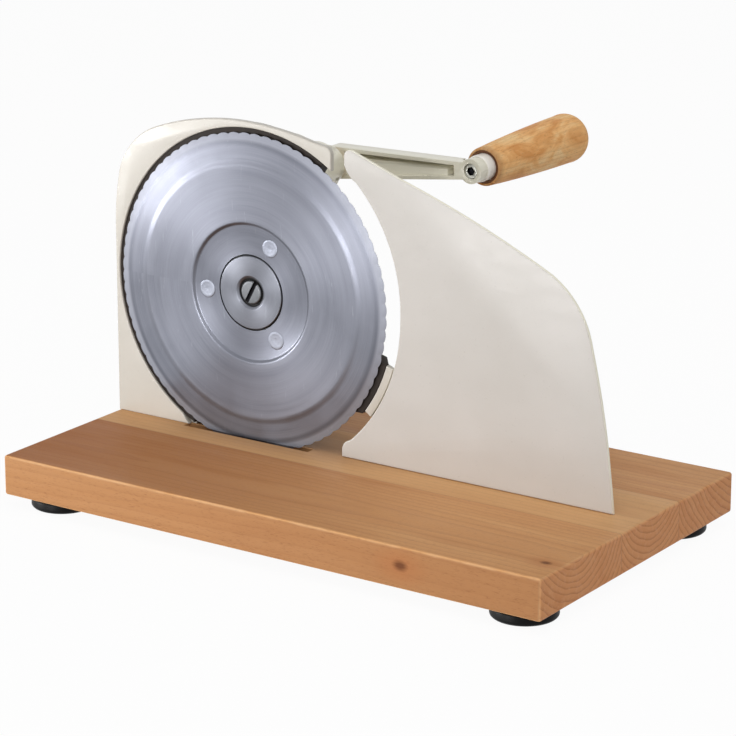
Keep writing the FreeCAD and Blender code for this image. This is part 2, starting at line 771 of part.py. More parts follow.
def make_stub_axle():
    """Fixed axle of the blade with cap, slotted screw, washer and nut."""
    back = S.pit_floor_back + 4.5
    turned("blade_axle", [
        (0, 12.0), (S.blade_screw_radius, 12.0), (S.blade_screw_radius, 2.1),
        (S.stub_radius, 2.1), (S.stub_radius, 9.3), (10.0, 9.3), (10.0, 10.0),
        (5.1, 10.0), (5.1, back + 8.5), (4.4, back + 9.2), (0, back + 9.2),
    ], AXIS_X, FACE_Y, AXIS_Z)
    turned("blade_cap", [
        (S.blade_screw_radius, 2.1), (S.cap_radius, 2.1), (S.cap_radius, -0.5),
        (S.cap_radius - 0.6, -0.9), (S.countersink_radius, -0.9),
        (S.blade_screw_head_radius, 0.1), (S.blade_screw_head_radius, 0.6),
        (S.blade_screw_radius, 1.9),
    ], AXIS_X, FACE_Y, AXIS_Z)
    screw = turned("blade_screw", [
        (0, -0.7), (S.blade_screw_head_radius - 0.5, -0.7), (S.blade_screw_head_radius, 0.1),
        (S.blade_screw_head_radius, 0.6), (S.blade_screw_radius, 1.9),
        (S.blade_screw_radius, 12.0), (0, 12.0),
    ], AXIS_X, FACE_Y, AXIS_Z)
    slot = new_sketch(screw, "slot", "XZ_Plane", -1.5)
    ends = [on_circle(8, angle) for angle in (55, 69, 235, 249)]
    polygon(slot, ends)
    pocket(screw, slot, 2.3)
    turned("axle_washer", [(5.2, back), (10.0, back), (10.0, back + 1.2), (5.2, back + 1.2)],
           AXIS_X, FACE_Y, AXIS_Z)
    nut = new_body("axle_nut", AXIS_X, FACE_Y, AXIS_Z)
    face = new_sketch(nut, "face", "XZ_Plane", back + 1.2)
    curve(face, hexagon(0, 0, 17))
    circle(face, 0, 0, 5.1)
    pad(nut, face, 6)


# Crank with its gear, shaft, arm and handle


def make_crank_train():
    """Gear, shaft, key and bearing bushes of the crank."""
    teeth = int(S.crank_gear_teeth.value)
    gear = new_body("crank_gear", CRANK_X, FACE_Y, CRANK_Z)
    wheel = new_sketch(gear, "wheel", "XZ_Plane", 1.6)
    curve(wheel, gear_points(teeth, 180.0 / teeth - 90.0 - CRANK_LEAN))
    pad(gear, wheel, S.gear_back - 1.6)
    hub = new_sketch(gear, "hub", "XZ_Plane", S.gear_back - 1)
    circle(hub, 0, 0, 11.0)
    pad(gear, hub, 2.1)
    drill(gear, "bore", 0, 12, [(0, 0)], S.shaft_radius)
    lighten = [on_circle(17.5, 60.0 * n) for n in range(6)]
    drill(gear, "lightening", 0, 12, lighten, 4.2)
    keyway = new_sketch(gear, "keyway", "XZ_Plane", 0)
    key_corners = [(-2, S.shaft_radius - 2.2), (2, S.shaft_radius - 2.2), (2, 7.8), (-2, 7.8)]
    polygon(keyway, key_corners)
    pocket(gear, keyway, 12)
    shaft = turned("crank_shaft", [
        (0, 1.4), (S.shaft_radius - 0.4, 1.4), (S.shaft_radius, 1.8),
        (S.shaft_radius, S.arm_front - 2.4), (S.shaft_radius, S.arm_front + S.arm_depth - 0.5),
        (0, S.arm_front + S.arm_depth - 0.5),
    ], CRANK_X, FACE_Y, CRANK_Z)
    key_seat = new_sketch(shaft, "keyseat", "XZ_Plane", 0)
    polygon(key_seat, key_corners)
    pocket(shaft, key_seat, 8.7)
    flats = new_sketch(shaft, "flats", "XZ_Plane", S.arm_front - 2.4)
    circle(flats, 0, 0, S.shaft_radius + 2)
    polygon(flats, [(-4.6, -4.6), (4.6, -4.6), (4.6, 4.6), (-4.6, 4.6)])
    pocket(shaft, flats, 20)
    thread = new_sketch(shaft, "thread", "XZ_Plane", S.arm_front + S.arm_depth - 14)
    circle(thread, 0, 0, 2.5)
    pocket(shaft, thread, 20)
    key = new_body("gear_key", CRANK_X, FACE_Y, CRANK_Z)
    face = new_sketch(key, "face", "XZ_Plane", 1.8)
    polygon(face, key_corners)
    pad(key, face, 6.8)
    inner = S.shaft_radius + S.running_gap
    outer = S.shaft_radius + S.bush_wall
    turned("front_crank_bush", [
        (inner, 9.0), (outer + 2, 9.0), (outer + 2, 10.0), (outer, 10.0), (outer, 20.0),
        (inner, 20.0),
    ], CRANK_X, FACE_Y, CRANK_Z)
    back = S.arm_front - 3.4
    turned("rear_crank_bush", [
        (inner, back - 12), (outer, back - 12), (outer, back), (outer + 2, back),
        (outer + 2, back + 0.7), (inner, back + 0.7),
    ], CRANK_X, FACE_Y, CRANK_Z)


def make_crank_arm():
    """Tapered channel arm, open to the front, with hub boss and eye."""
    body = new_body("crank_arm", CRANK_X, FACE_Y, CRANK_Z)
    turn = float(S.arm_rise_angle)

    def at(along, across):
        radius = math.hypot(along, across)
        return on_circle(radius, turn + math.degrees(math.atan2(across, along)))

    reach = float(S.arm_reach)
    hub = float(S.arm_hub_radius)
    end = float(S.arm_end_half_height)
    flange = float(S.arm_flange)
    front = S.arm_front
    beam = new_sketch(body, "beam", "XZ_Plane", front)
    curve(beam, [
        at(0, hub), at(0, -hub) + (at(-hub, 0),), at(reach - 4, -end), at(reach - 4, end),
    ])
    pad(body, beam, S.arm_depth)
    recess = new_sketch(body, "recess", "XZ_Plane", front - 1)
    start = hub - 1.0
    inner = hub - flange - 0.4
    stop = reach - 10.5
    curve(recess, [
        at(start, inner), at(start, -inner) + (at(start + 3.0, 0),), at(stop, -end + 1.6),
        at(stop, end - 1.6),
    ])
    pocket(body, recess, S.arm_depth - S.arm_web + 1)
    boss = new_sketch(body, "boss", "XZ_Plane", front - 2.4)
    circle(boss, 0, 0, 7.9)
    pad(body, boss, S.arm_depth)
    eye = new_sketch(body, "eye", "XZ_Plane", front)
    eye_x = S.arm_reach * math.cos(ARM_RISE)
    eye_z = S.arm_reach * math.sin(ARM_RISE)
    circle(eye, eye_x, eye_z, S.eye_radius)
    pad(body, eye, S.eye_depth)
    trim = new_sketch(body, "trim", "XZ_Plane", front + S.eye_depth)
    circle(trim, eye_x, eye_z, S.eye_radius + 3.5)
    pocket(body, trim, 8)
    square = new_sketch(body, "square", "XZ_Plane", front - 3)
    polygon(square, [(-4.6, -4.6), (4.6, -4.6), (4.6, 4.6), (-4.6, 4.6)])
    pocket(body, square, 20)
    drill(body, "eyehole", front - 1, 20, [(eye_x, eye_z)], 2.6)
    drill(body, "eyesink", front - 1, 4.6, [(eye_x, eye_z)], 4.4)
    back = front + S.arm_depth
    turned("hub_washer", [(2.6, back), (9.0, back), (9.0, back + 1.2), (2.6, back + 1.2)],
           CRANK_X, FACE_Y, CRANK_Z)
    bolt = new_body("hub_bolt", CRANK_X, FACE_Y, CRANK_Z)
    head = new_sketch(bolt, "head", "XZ_Plane", back + 1.2)
    curve(head, hexagon(0, 0, 10, 30))
    pad(bolt, head, 3.6)
    shank = new_sketch(bolt, "shank", "XZ_Plane", back - 13)
    circle(shank, 0, 0, 2.5)
    pad(bolt, shank, 14.4)


def make_handle():
    """Ferrule, pin and turned wooden grip that spins on the pin."""
    front = S.arm_front
    seat = front + S.eye_depth
    flange = seat + S.ferrule_length
    pin = S.handle_pin_radius
    screw = turned("eye_screw", [
        (0, front + 2.4), (1.6, front + 0.6), (4.1, front + 0.6), (4.1, front + 3.6),
        (2.5, front + 3.6), (2.5, seat + 9.0), (0, seat + 9.0),
    ], EYE_X, FACE_Y, EYE_Z)
    socket = new_sketch(screw, "socket", "XZ_Plane", front)
    curve(socket, hexagon(0, 0, 4.4, 10))
    pocket(screw, socket, 2.6)
    turned("handle_ferrule", [
        (pin, seat), (S.ferrule_radius - 0.5, seat), (S.ferrule_radius, seat + 0.5),
        (S.ferrule_radius, flange), (pin, flange),
    ], EYE_X, FACE_Y, EYE_Z)
    turned("handle_pin", [
        (2.5, seat), (pin, seat), (pin, flange), (8.6, flange), (8.6, flange + 1.0),
        (pin, flange + 1.0), (pin, GRIP_FRONT + 70), (pin - 1, GRIP_FRONT + 71),
        (0, GRIP_FRONT + 71), (0, seat + 9.0), (2.5, seat + 9.0),
    ], EYE_X, FACE_Y, EYE_Z)
    turned("grip_ring", [
        (8.0, GRIP_FRONT + 1.0), (9.4, GRIP_FRONT + 1.0), (9.4, flange - 0.3),
        (8.0, flange - 0.3),
    ], EYE_X, FACE_Y, EYE_Z)
    grip = new_body("wooden_grip", EYE_X, FACE_Y + GRIP_FRONT, EYE_Z)
    profile = new_sketch(grip, "profile", "XY_Plane")
    thin = float(S.grip_front_radius)
    thick = float(S.grip_back_radius)
    length = float(S.grip_length)
    bore = float(pin + S.running_gap)
    curve(profile, [
        (9.4, 0), (thin - 1.2, 0), (thin, 1.4, (thin - 0.3, 0.4)),
        (thick, length - 13, (thin + 2.1, length * 0.42)),
        (7.0, length - 1.2, (thick - 2.3, length - 4.6)),
        (1.0, length, (4.1, length - 0.4)),
        (0, length), (0, 72.5), (bore, 72.5), (bore, 5.0), (9.4, 5.0),
    ])
    revolve(grip, profile, "profile")


# Stop plate that sets the slice, with its slide and its knob


def stop_plate_outline(sketch):
    """Stop plate: arc round the blade, sloping top and round shoulder."""
    low = float(S.stop_clearance)
    bottom = low - float(AXIS_HEIGHT)
    cut = float(CUT_RADIUS)
    heel_x = on_circle(cut + 6.5, -52.8)[0]
    curve(sketch, [
        (231.8, bottom), (227.6, 35.1 - 84.2), (217.0, 3.8, (223.3, -24.0)),
        (190.5, 39.9, (207.6, 25.2)), on_circle(cut + 31.6, 38.1) + ((146.0, 59.9),),
        on_circle(cut + 18.0, 52.65), on_circle(cut + 12.1, 53.9) + (on_circle(cut + 15.7, 54.1),),
        on_circle(cut + 8.3, 52.3), on_circle(cut + 6.5, 45.5) + (on_circle(cut + 6.1, 49.2),),
        on_circle(cut + 5.1, 0.0) + (on_circle(cut + 6.0, 22.2),),
        on_circle(cut + 5.4, -48.6) + (on_circle(cut + 5.3, -26.9),),
        on_circle(cut + 6.5, -52.8) + (on_circle(cut + 4.7, -51.1),), (heel_x, bottom),
    ])


def make_stop_plate():
    body = new_body("stop_plate", AXIS_X, FACE_Y, AXIS_Z)
    plate = new_sketch(body, "plate", "XZ_Plane")
    stop_plate_outline(plate)
    pad(body, plate, S.stop_thickness)
    studs = new_sketch(body, "studs", "XZ_Plane", S.stop_thickness)
    for x, z in stud_places():
        circle(studs, SLIDE_X - AXIS_X + x, SLIDE_Z - AXIS_Z + z, 2.0)
    pad(body, studs, 7.0)


def stud_places():
    return [(x, z) for x in (-27, 27) for z in (-14.5, 14.5)]


def make_carriage():
    """Cast carriage behind the stop plate, sliding on two rods."""
    body = new_body("stop_carriage", SLIDE_X, FACE_Y, SLIDE_Z)
    seat = S.stop_thickness
    side = float(S.rod_spacing / 2)
    rear = S.bracket_front - 2.8 - S.stop_travel - 2.2
    base = new_sketch(body, "base", "XZ_Plane", seat)
    curve(base, [
        (-33, -15), (-28, -20, (-31.5, -18.5)), (28, -20), (33, -15, (31.5, -18.5)),
        (33, 15), (28, 20, (31.5, 18.5)), (-28, 20), (-33, 15, (-31.5, 18.5)),
    ])
    pad(body, base, 3.6)
    bosses = new_sketch(body, "bosses", "XZ_Plane", seat + 3.0)
    circle(bosses, -side, 0, 8.5)
    circle(bosses, 0, 0, 10.5)
    circle(bosses, side, 0, 8.5)
    pad(body, bosses, rear - seat - 3.0)
    web = new_sketch(body, "web", "XZ_Plane", seat + 3.0)
    polygon(web, [(-side, -2.5), (side, -2.5), (side, 2.5), (-side, 2.5)])
    pad(body, web, rear - seat - 9.0)
    rods = [(-side, 0), (side, 0)]
    drill(body, "rodbores", seat + 0.6, 50, rods, S.rod_radius + S.running_gap)
    drill(body, "spindlebore", seat + 0.6, 50, [(0, 0)], S.spindle_radius + 0.6)
    drill(body, "nutseat", 20.0, 50, [(0, 0)], 7.5)
    drill(body, "studholes", 0, 12, stud_places(), 2.0)
    turned("spindle_nut", [
        (S.spindle_radius + S.running_gap, 20.0), (7.5, 20.0), (7.5, rear), (9.5, rear),
        (9.5, rear + 1.2), (S.spindle_radius + S.running_gap, rear + 1.2),
    ], SLIDE_X, FACE_Y, SLIDE_Z)
    nut = Part.Face(Part.makePolygon(
        [FreeCAD.Vector(x, float(seat) + 3.6, z) for x, z in hexagon(0, 0, 7) + hexagon(0, 0, 7)[:1]]
    )).extrude(FreeCAD.Vector(0, 3.0, 0))
    stud = Part.makeCylinder(2.0, 20, FreeCAD.Vector(0, 0, 0), FreeCAD.Vector(0, 1, 0))
    nut = nut.cut(stud)
    grouped("carriage_nuts", [moved(nut, x, 0, z) for x, z in stud_places()],
            SLIDE_X, FACE_Y, SLIDE_Z)


def make_bracket():
    """Bracket on the board that holds the two rods and the spindle."""
    body = new_body("stop_bracket", SLIDE_X, FACE_Y, BOARD_TOP)
    side = float(S.rod_spacing / 2)
    height = float(S.slide_centre_height)
    front = S.bracket_front
    foot = new_sketch(body, "foot", "XY_Plane")
    curve(foot, [
        (-40, 46), (-36, 42, (-38.8, 43.2)), (36, 42), (40, 46, (38.8, 43.2)),
        (40, 84), (36, 88, (38.8, 86.8)), (-36, 88), (-40, 84, (-38.8, 86.8)),
    ])
    pad(body, foot, 5.0)
    web = new_sketch(body, "web", "XZ_Plane", front)
    curve(web, [
        (-38, 4), (38, 4), (side + 9.5, height),
        (side, height + 9.5, (side + 6.7, height + 6.7)),
        (-side, height + 9.5),
        (-side - 9.5, height, (-side - 6.7, height + 6.7)),
    ])
    pad(body, web, S.bracket_web)
    arch = new_sketch(body, "arch", "XZ_Plane", front - 1)
    curve(arch, [(-17, 5), (17, 5), (17, 26), (-17, 26, (0, 40))])
    pocket(body, arch, S.bracket_web + 2)
    for name, x in (("leftrib", -27.0), ("rightrib", 23.0)):
        rib = new_sketch(body, name, "YZ_Plane", x)
        polygon(rib, [(62, 4), (84, 4), (62, 40)])
        pad(body, rib, 4.0)
    boss = new_sketch(body, "boss", "XZ_Plane", front)
    circle(boss, 0, height, 12)
    pad(body, boss, S.bracket_web + 2)
    rods = [(-side, height), (side, height)]
    drill(body, "rodbores", front - 1, 30, rods, S.rod_radius)
    drill(body, "spindlebore", front - 1, 30, [(0, height)], S.spindle_radius + 2)
    anchors = new_sketch(body, "anchors", "XY_Plane", -1)
    for x, y in BRACKET_SCREW_PLACES:
        circle(anchors, x, y, WOOD_SCREW_RADIUS)
    pocket(body, anchors, 8)
    screw = lathe([
        (0, -13), (WOOD_SCREW_RADIUS, -10), (WOOD_SCREW_RADIUS, 5), (3.9, 5),
        (3.9, 6.2), (2.8, 7.4), (0, 7.4),
    ], "Z")
    places = [moved(screw, x, y, 0) for x, y in BRACKET_SCREW_PLACES]
    grouped("bracket_screws", places, SLIDE_X, FACE_Y, BOARD_TOP)
    turned("spindle_bush", [
        (S.spindle_radius + S.running_gap, front), (S.spindle_radius + 2, front),
        (S.spindle_radius + 2, front + S.bracket_web + 2),
        (S.spindle_radius + S.running_gap, front + S.bracket_web + 2),
    ], SLIDE_X, FACE_Y, SLIDE_Z)
    rod = [(0, 19.0), (3.4, 19.0), (S.rod_radius, 19.6), (S.rod_radius, front + S.bracket_web),
           (0, front + S.bracket_web)]
    turned("left_guide_rod", rod, SLIDE_X - side, FACE_Y, SLIDE_Z)
    turned("right_guide_rod", rod, SLIDE_X + side, FACE_Y, SLIDE_Z)


def make_knob():
    """Spindle and ribbed knob that set the thickness of the slice."""
    front = S.bracket_front
    back = front + S.bracket_web + 2 + S.end_gap
    shank = S.spindle_radius
    turned("adjusting_spindle", [
        (0, 18.5), (4.2, 18.5), (shank, 19.3), (shank, front - 2.3), (8.0, front - 2.3),
        (8.0, front - S.end_gap), (shank, front - S.end_gap), (shank, back + 12), (0, back + 12),
    ], SLIDE_X, FACE_Y, SLIDE_Z)
    knob = new_body("adjusting_knob", SLIDE_X, FACE_Y, SLIDE_Z)
    tall = S.knob_depth
    wide = S.knob_radius
    add_turning(knob, [
        (shank, back), (wide - 4, back), (wide - 2, back + 1.6), (wide - 1, back + 4),
        (wide - 1, back + tall - 3), (wide - 4, back + tall), (6.5, back + tall),
        (6.5, back + 14), (2.6, back + 14), (2.6, back + 12), (shank, back + 12),
    ], "profile")
    rib = new_sketch(knob, "rib", "XZ_Plane", back + 4)
    curve(rib, [
        (float(wide) - 2.5, -1.3), (float(wide) - 0.6, -1.3),
        (float(wide) - 0.6, 1.3, (float(wide), 0.0)), (float(wide) - 2.5, 1.3),
    ])
    ribbed = pad(knob, rib, tall - 7)
    around = knob.newObject("PartDesign::PolarPattern", "adjusting_knob_ribs")
    around.Originals = [ribbed]
    around.Axis = (rib, ["N_Axis"])
    around.Angle = 360
    around.Occurrences = int(S.knob_ribs.value)
    around.setExpression("Occurrences", S.knob_ribs.text)
    knob.Tip = around
    turned("knob_screw", [
        (0, back + 6), (2.6, back + 6), (2.6, back + 14), (4.6, back + 14),
        (4.6, back + 15.6), (3.4, back + 16.8), (0, back + 16.8),
    ], SLIDE_X, FACE_Y, SLIDE_Z)
    thread = new_sketch(DOC.getObject("adjusting_spindle"), "thread", "XZ_Plane", back + 6)
    circle(thread, 0, 0, 2.6)
    pocket(DOC.getObject("adjusting_spindle"), thread, 10)


def export_sub_parts():
    """Checks every object, then writes one file for each sub-part."""
    DOC.recompute()
    for item in DOC.Objects:
        if "Invalid" in item.State or "Error" in item.State:
            raise ValueError("failed object: " + item.Label)
    os.makedirs("parts", exist_ok=True)
    for item in SUB_PARTS:
        shape = item.Shape
        if shape.isNull() or not shape.isValid():
            raise ValueError("bad shape: " + item.Label)
        box = shape.BoundBox
        print(item.Label, "solids", len(shape.Solids), "volume", round(shape.Volume, 1),
              "box", [round(v, 2) for v in (box.XMin, box.YMin, box.ZMin, box.XMax, box.YMax, box.ZMax)])
        shape.exportStep("parts/" + item.Label + ".step")


make_board()
make_feet()
make_body_casting()
make_guard_ring()
make_gear_cover()
make_blade()
make_rivets()
make_blade_gear()
make_stub_axle()
make_crank_train()
make_crank_arm()
make_handle()
make_stop_plate()
make_carriage()
make_bracket()
make_knob()
export_sub_parts()
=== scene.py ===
"""Dressed view of the bread slicer with crank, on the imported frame."""

import math

import bmesh
import bpy
from mathutils import Matrix, Vector


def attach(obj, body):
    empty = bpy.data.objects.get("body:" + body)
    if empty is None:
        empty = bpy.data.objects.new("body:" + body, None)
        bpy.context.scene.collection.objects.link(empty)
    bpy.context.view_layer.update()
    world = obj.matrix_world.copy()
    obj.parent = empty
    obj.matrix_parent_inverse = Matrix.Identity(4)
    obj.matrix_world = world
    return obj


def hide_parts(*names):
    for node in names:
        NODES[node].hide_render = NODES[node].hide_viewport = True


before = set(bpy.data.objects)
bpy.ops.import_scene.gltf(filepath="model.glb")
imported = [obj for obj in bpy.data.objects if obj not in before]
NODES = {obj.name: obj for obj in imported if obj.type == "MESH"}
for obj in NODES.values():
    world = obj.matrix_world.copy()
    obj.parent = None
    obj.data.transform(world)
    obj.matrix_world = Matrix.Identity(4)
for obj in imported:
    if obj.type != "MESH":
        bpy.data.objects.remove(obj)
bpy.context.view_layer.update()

MM = 0.001

# Places in the frame, in millimetres, as the source has them
AXIS_X, FACE_Y, AXIS_Z = -77.3, -39.35, 115.0
EYE_X, EYE_Z = 21.14, 183.07
CRANK_X, CRANK_Z, ARM_RISE = -70.8, 176.156, 4.3
CHANNEL_FLOOR = 37.65   # depth of the floor of the arm's channel
BOARD_FRONT = -141.25
CUT_RADIUS = 93.4       # of the source's cut for the blade
PLATE_CUT = 92.7        # of the left plate's inner edge, as the photograph shows it
TEETH = 76
GRIP_FRONT = 82.6       # behind the plates' face
FEET = {
    "foot_front_left": (-149.5, -118.25),
    "foot_front_right": (149.5, -118.25),
    "foot_rear_left": (-149.5, 35.75),
    "foot_rear_right": (149.5, 35.75),
}
STAVE_SEAMS = (-61.15, -0.85)
KNOTS = ((89.6, -141.25, 20.7, 3.4), (162.4, -119.5, 30.8, 2.6))     # place and size
RIVET_ANGLES = (64, 184, 304)
WORLD_LIGHT = 0.27


# Node graphs


def linear(red, green, blue):
    """Colour from the 0 to 255 values of a picture."""
    def one(value):
        value = value / 255
        return value / 12.92 if value <= 0.04045 else ((value + 0.055) / 1.055) ** 2.4
    return (one(red), one(green), one(blue), 1.0)


class Graph:
    """One material and short names for the nodes it is built from."""

    def __init__(self, name):
        self.material = bpy.data.materials.new(name)
        self.material.use_nodes = True
        self.tree = self.material.node_tree
        self.tree.nodes.clear()
        self.coords = self.add("ShaderNodeTexCoord").outputs["Object"]

    def add(self, kind, settings=(), **sockets):
        node = self.tree.nodes.new(kind)
        for key, value in dict(settings).items():
            setattr(node, key, value)
        for key, value in sockets.items():
            self.set(node.inputs[key.replace("_", " ")], value)
        return node

    def set(self, socket, value):
        if isinstance(value, bpy.types.NodeSocket):
            self.tree.links.new(value, socket)
        else:
            socket.default_value = value

    def math(self, operation, first, second=0.0, third=0.0):
        node = self.add("ShaderNodeMath", {"operation": operation})
        for socket, value in zip(node.inputs, (first, second, third)):
            self.set(socket, value)
        return node.outputs[0]

    def vector(self, operation, first, second=(0, 0, 0)):
        node = self.add("ShaderNodeVectorMath", {"operation": operation})
        self.set(node.inputs[0], first)
        self.set(node.inputs[1], second)
        return node.outputs["Value" if operation in ("LENGTH", "DOT_PRODUCT") else "Vector"]

    def join(self, x, y, z):
        return self.add("ShaderNodeCombineXYZ", X=x, Y=y, Z=z).outputs[0]

    def split(self, vector):
        return self.add("ShaderNodeSeparateXYZ", Vector=vector).outputs

    def stretched(self, scale, shift=(0, 0, 0)):
        node = self.add("ShaderNodeMapping", Vector=self.coords)
        self.set(node.inputs["Location"], shift)
        self.set(node.inputs["Scale"], scale)
        return node.outputs[0]

    def noise(self, vector, scale, detail=3.0, rough=0.5, twist=0.0):
        node = self.add("ShaderNodeTexNoise", Vector=vector, Scale=scale, Detail=detail,
                        Roughness=rough, Distortion=twist)
        return node.outputs["Fac"]

    def ramp(self, value, *stops):
        node = self.add("ShaderNodeValToRGB", Fac=value)
        band = node.color_ramp
        while len(band.elements) < len(stops):
            band.elements.new(0.5)
        for element, (place, colour) in zip(band.elements, stops):
            element.position = place
            element.color = colour if hasattr(colour, "__len__") else (colour,) * 3 + (1.0,)
        return node.outputs["Color"]

    def between(self, value, low, high, to_low=0.0, to_high=1.0):
        node = self.add("ShaderNodeMapRange", {"clamp": True}, Value=value)
        for key, number in zip(("From Min", "From Max", "To Min", "To Max"),
                               (low, high, to_low, to_high)):
            self.set(node.inputs[key], number)
        return node.outputs[0]

    def mix(self, share, first, second):
        node = self.add("ShaderNodeMix", {"data_type": "RGBA"})
        self.set(node.inputs[0], share)
        self.set(node.inputs[6], first)
        self.set(node.inputs[7], second)
        return node.outputs[2]

    def bump(self, height, strength, distance):
        node = self.add("ShaderNodeBump", Height=height, Strength=strength, Distance=distance)
        return node.outputs[0]

    def finish(self, **sockets):
        shader = self.add("ShaderNodeBsdfPrincipled", **sockets)
        out = self.add("ShaderNodeOutputMaterial")
        self.tree.links.new(shader.outputs[0], out.inputs["Surface"])
        return self.material


# Materials


def enamel(name, light, dark, rough=0.36, edge=None):
    """Sprayed satin enamel: cloudiness, orange peel, specks, rubbed places and, where an edge
    colour is given, a painted highlight in it on the rounded edges, sides and back.
    """
    g = Graph(name)
    cloud = g.noise(g.coords, 14.0, 4.0, 0.55)
    fine = g.noise(g.coords, 260.0, 3.0, 0.6)
    colour = g.ramp(cloud, (0.3, dark), (0.7, light))
    speck = g.ramp(g.noise(g.coords, 900.0, 1.0), (0.735, 0.0), (0.765, 1.0))
    colour = g.mix(g.math("MULTIPLY", speck, 0.16), colour, linear(120, 112, 98))
    if edge is not None:
        # Painted highlight: the lighter edge colour on everything behind the front face, the
        # rounded edges first
        depth = g.split(g.coords)[1]
        edge_highlight = g.between(depth, (FACE_Y + 0.05) * MM, (FACE_Y + 0.3) * MM)
        colour = g.mix(edge_highlight, colour, edge)
    peel = g.noise(g.coords, 700.0, 2.0, 0.5)
    wipe = g.noise(g.stretched((30, 30, 160)), 1.0, 5.0, 0.6, 0.6)
    roughness = g.math("ADD", g.between(wipe, 0.3, 0.7, rough - 0.05, rough + 0.06),
                       g.between(fine, 0.35, 0.65, -0.02, 0.02))
    height = g.math("ADD", g.math("MULTIPLY", peel, 0.7), g.math("MULTIPLY", cloud, 0.5))
    return g.finish(Base_Color=colour, Roughness=roughness, Coat_Weight=0.15,
                    Coat_Roughness=0.22, Normal=g.bump(height, 0.10, 0.0004))


def point_x(g, point):
    return g.split(point)[0]


def wood_rings(g, point, pith, spacing, wander):
    """Growth rings round a line along X: sharp late wood, slow waves along the grain."""
    x, y, z = g.split(point)
    slow = g.noise(g.join(g.math("MULTIPLY", x, 5.0), g.math("MULTIPLY", y, 22.0),
                          g.math("MULTIPLY", z, 22.0)), 1.0, 3.0, 0.5)
    pull = g.math("MULTIPLY", g.math("SUBTRACT", slow, 0.5), wander)
    dy = g.math("SUBTRACT", y, pith[0])
    dz = g.math("SUBTRACT", z, pith[1])
    far = g.math("SQRT", g.math("ADD", g.math("MULTIPLY", dy, dy), g.math("MULTIPLY", dz, dz)))
    far = g.math("ADD", far, pull)
    return g.math("FRACT", g.math("DIVIDE", far, spacing)), far


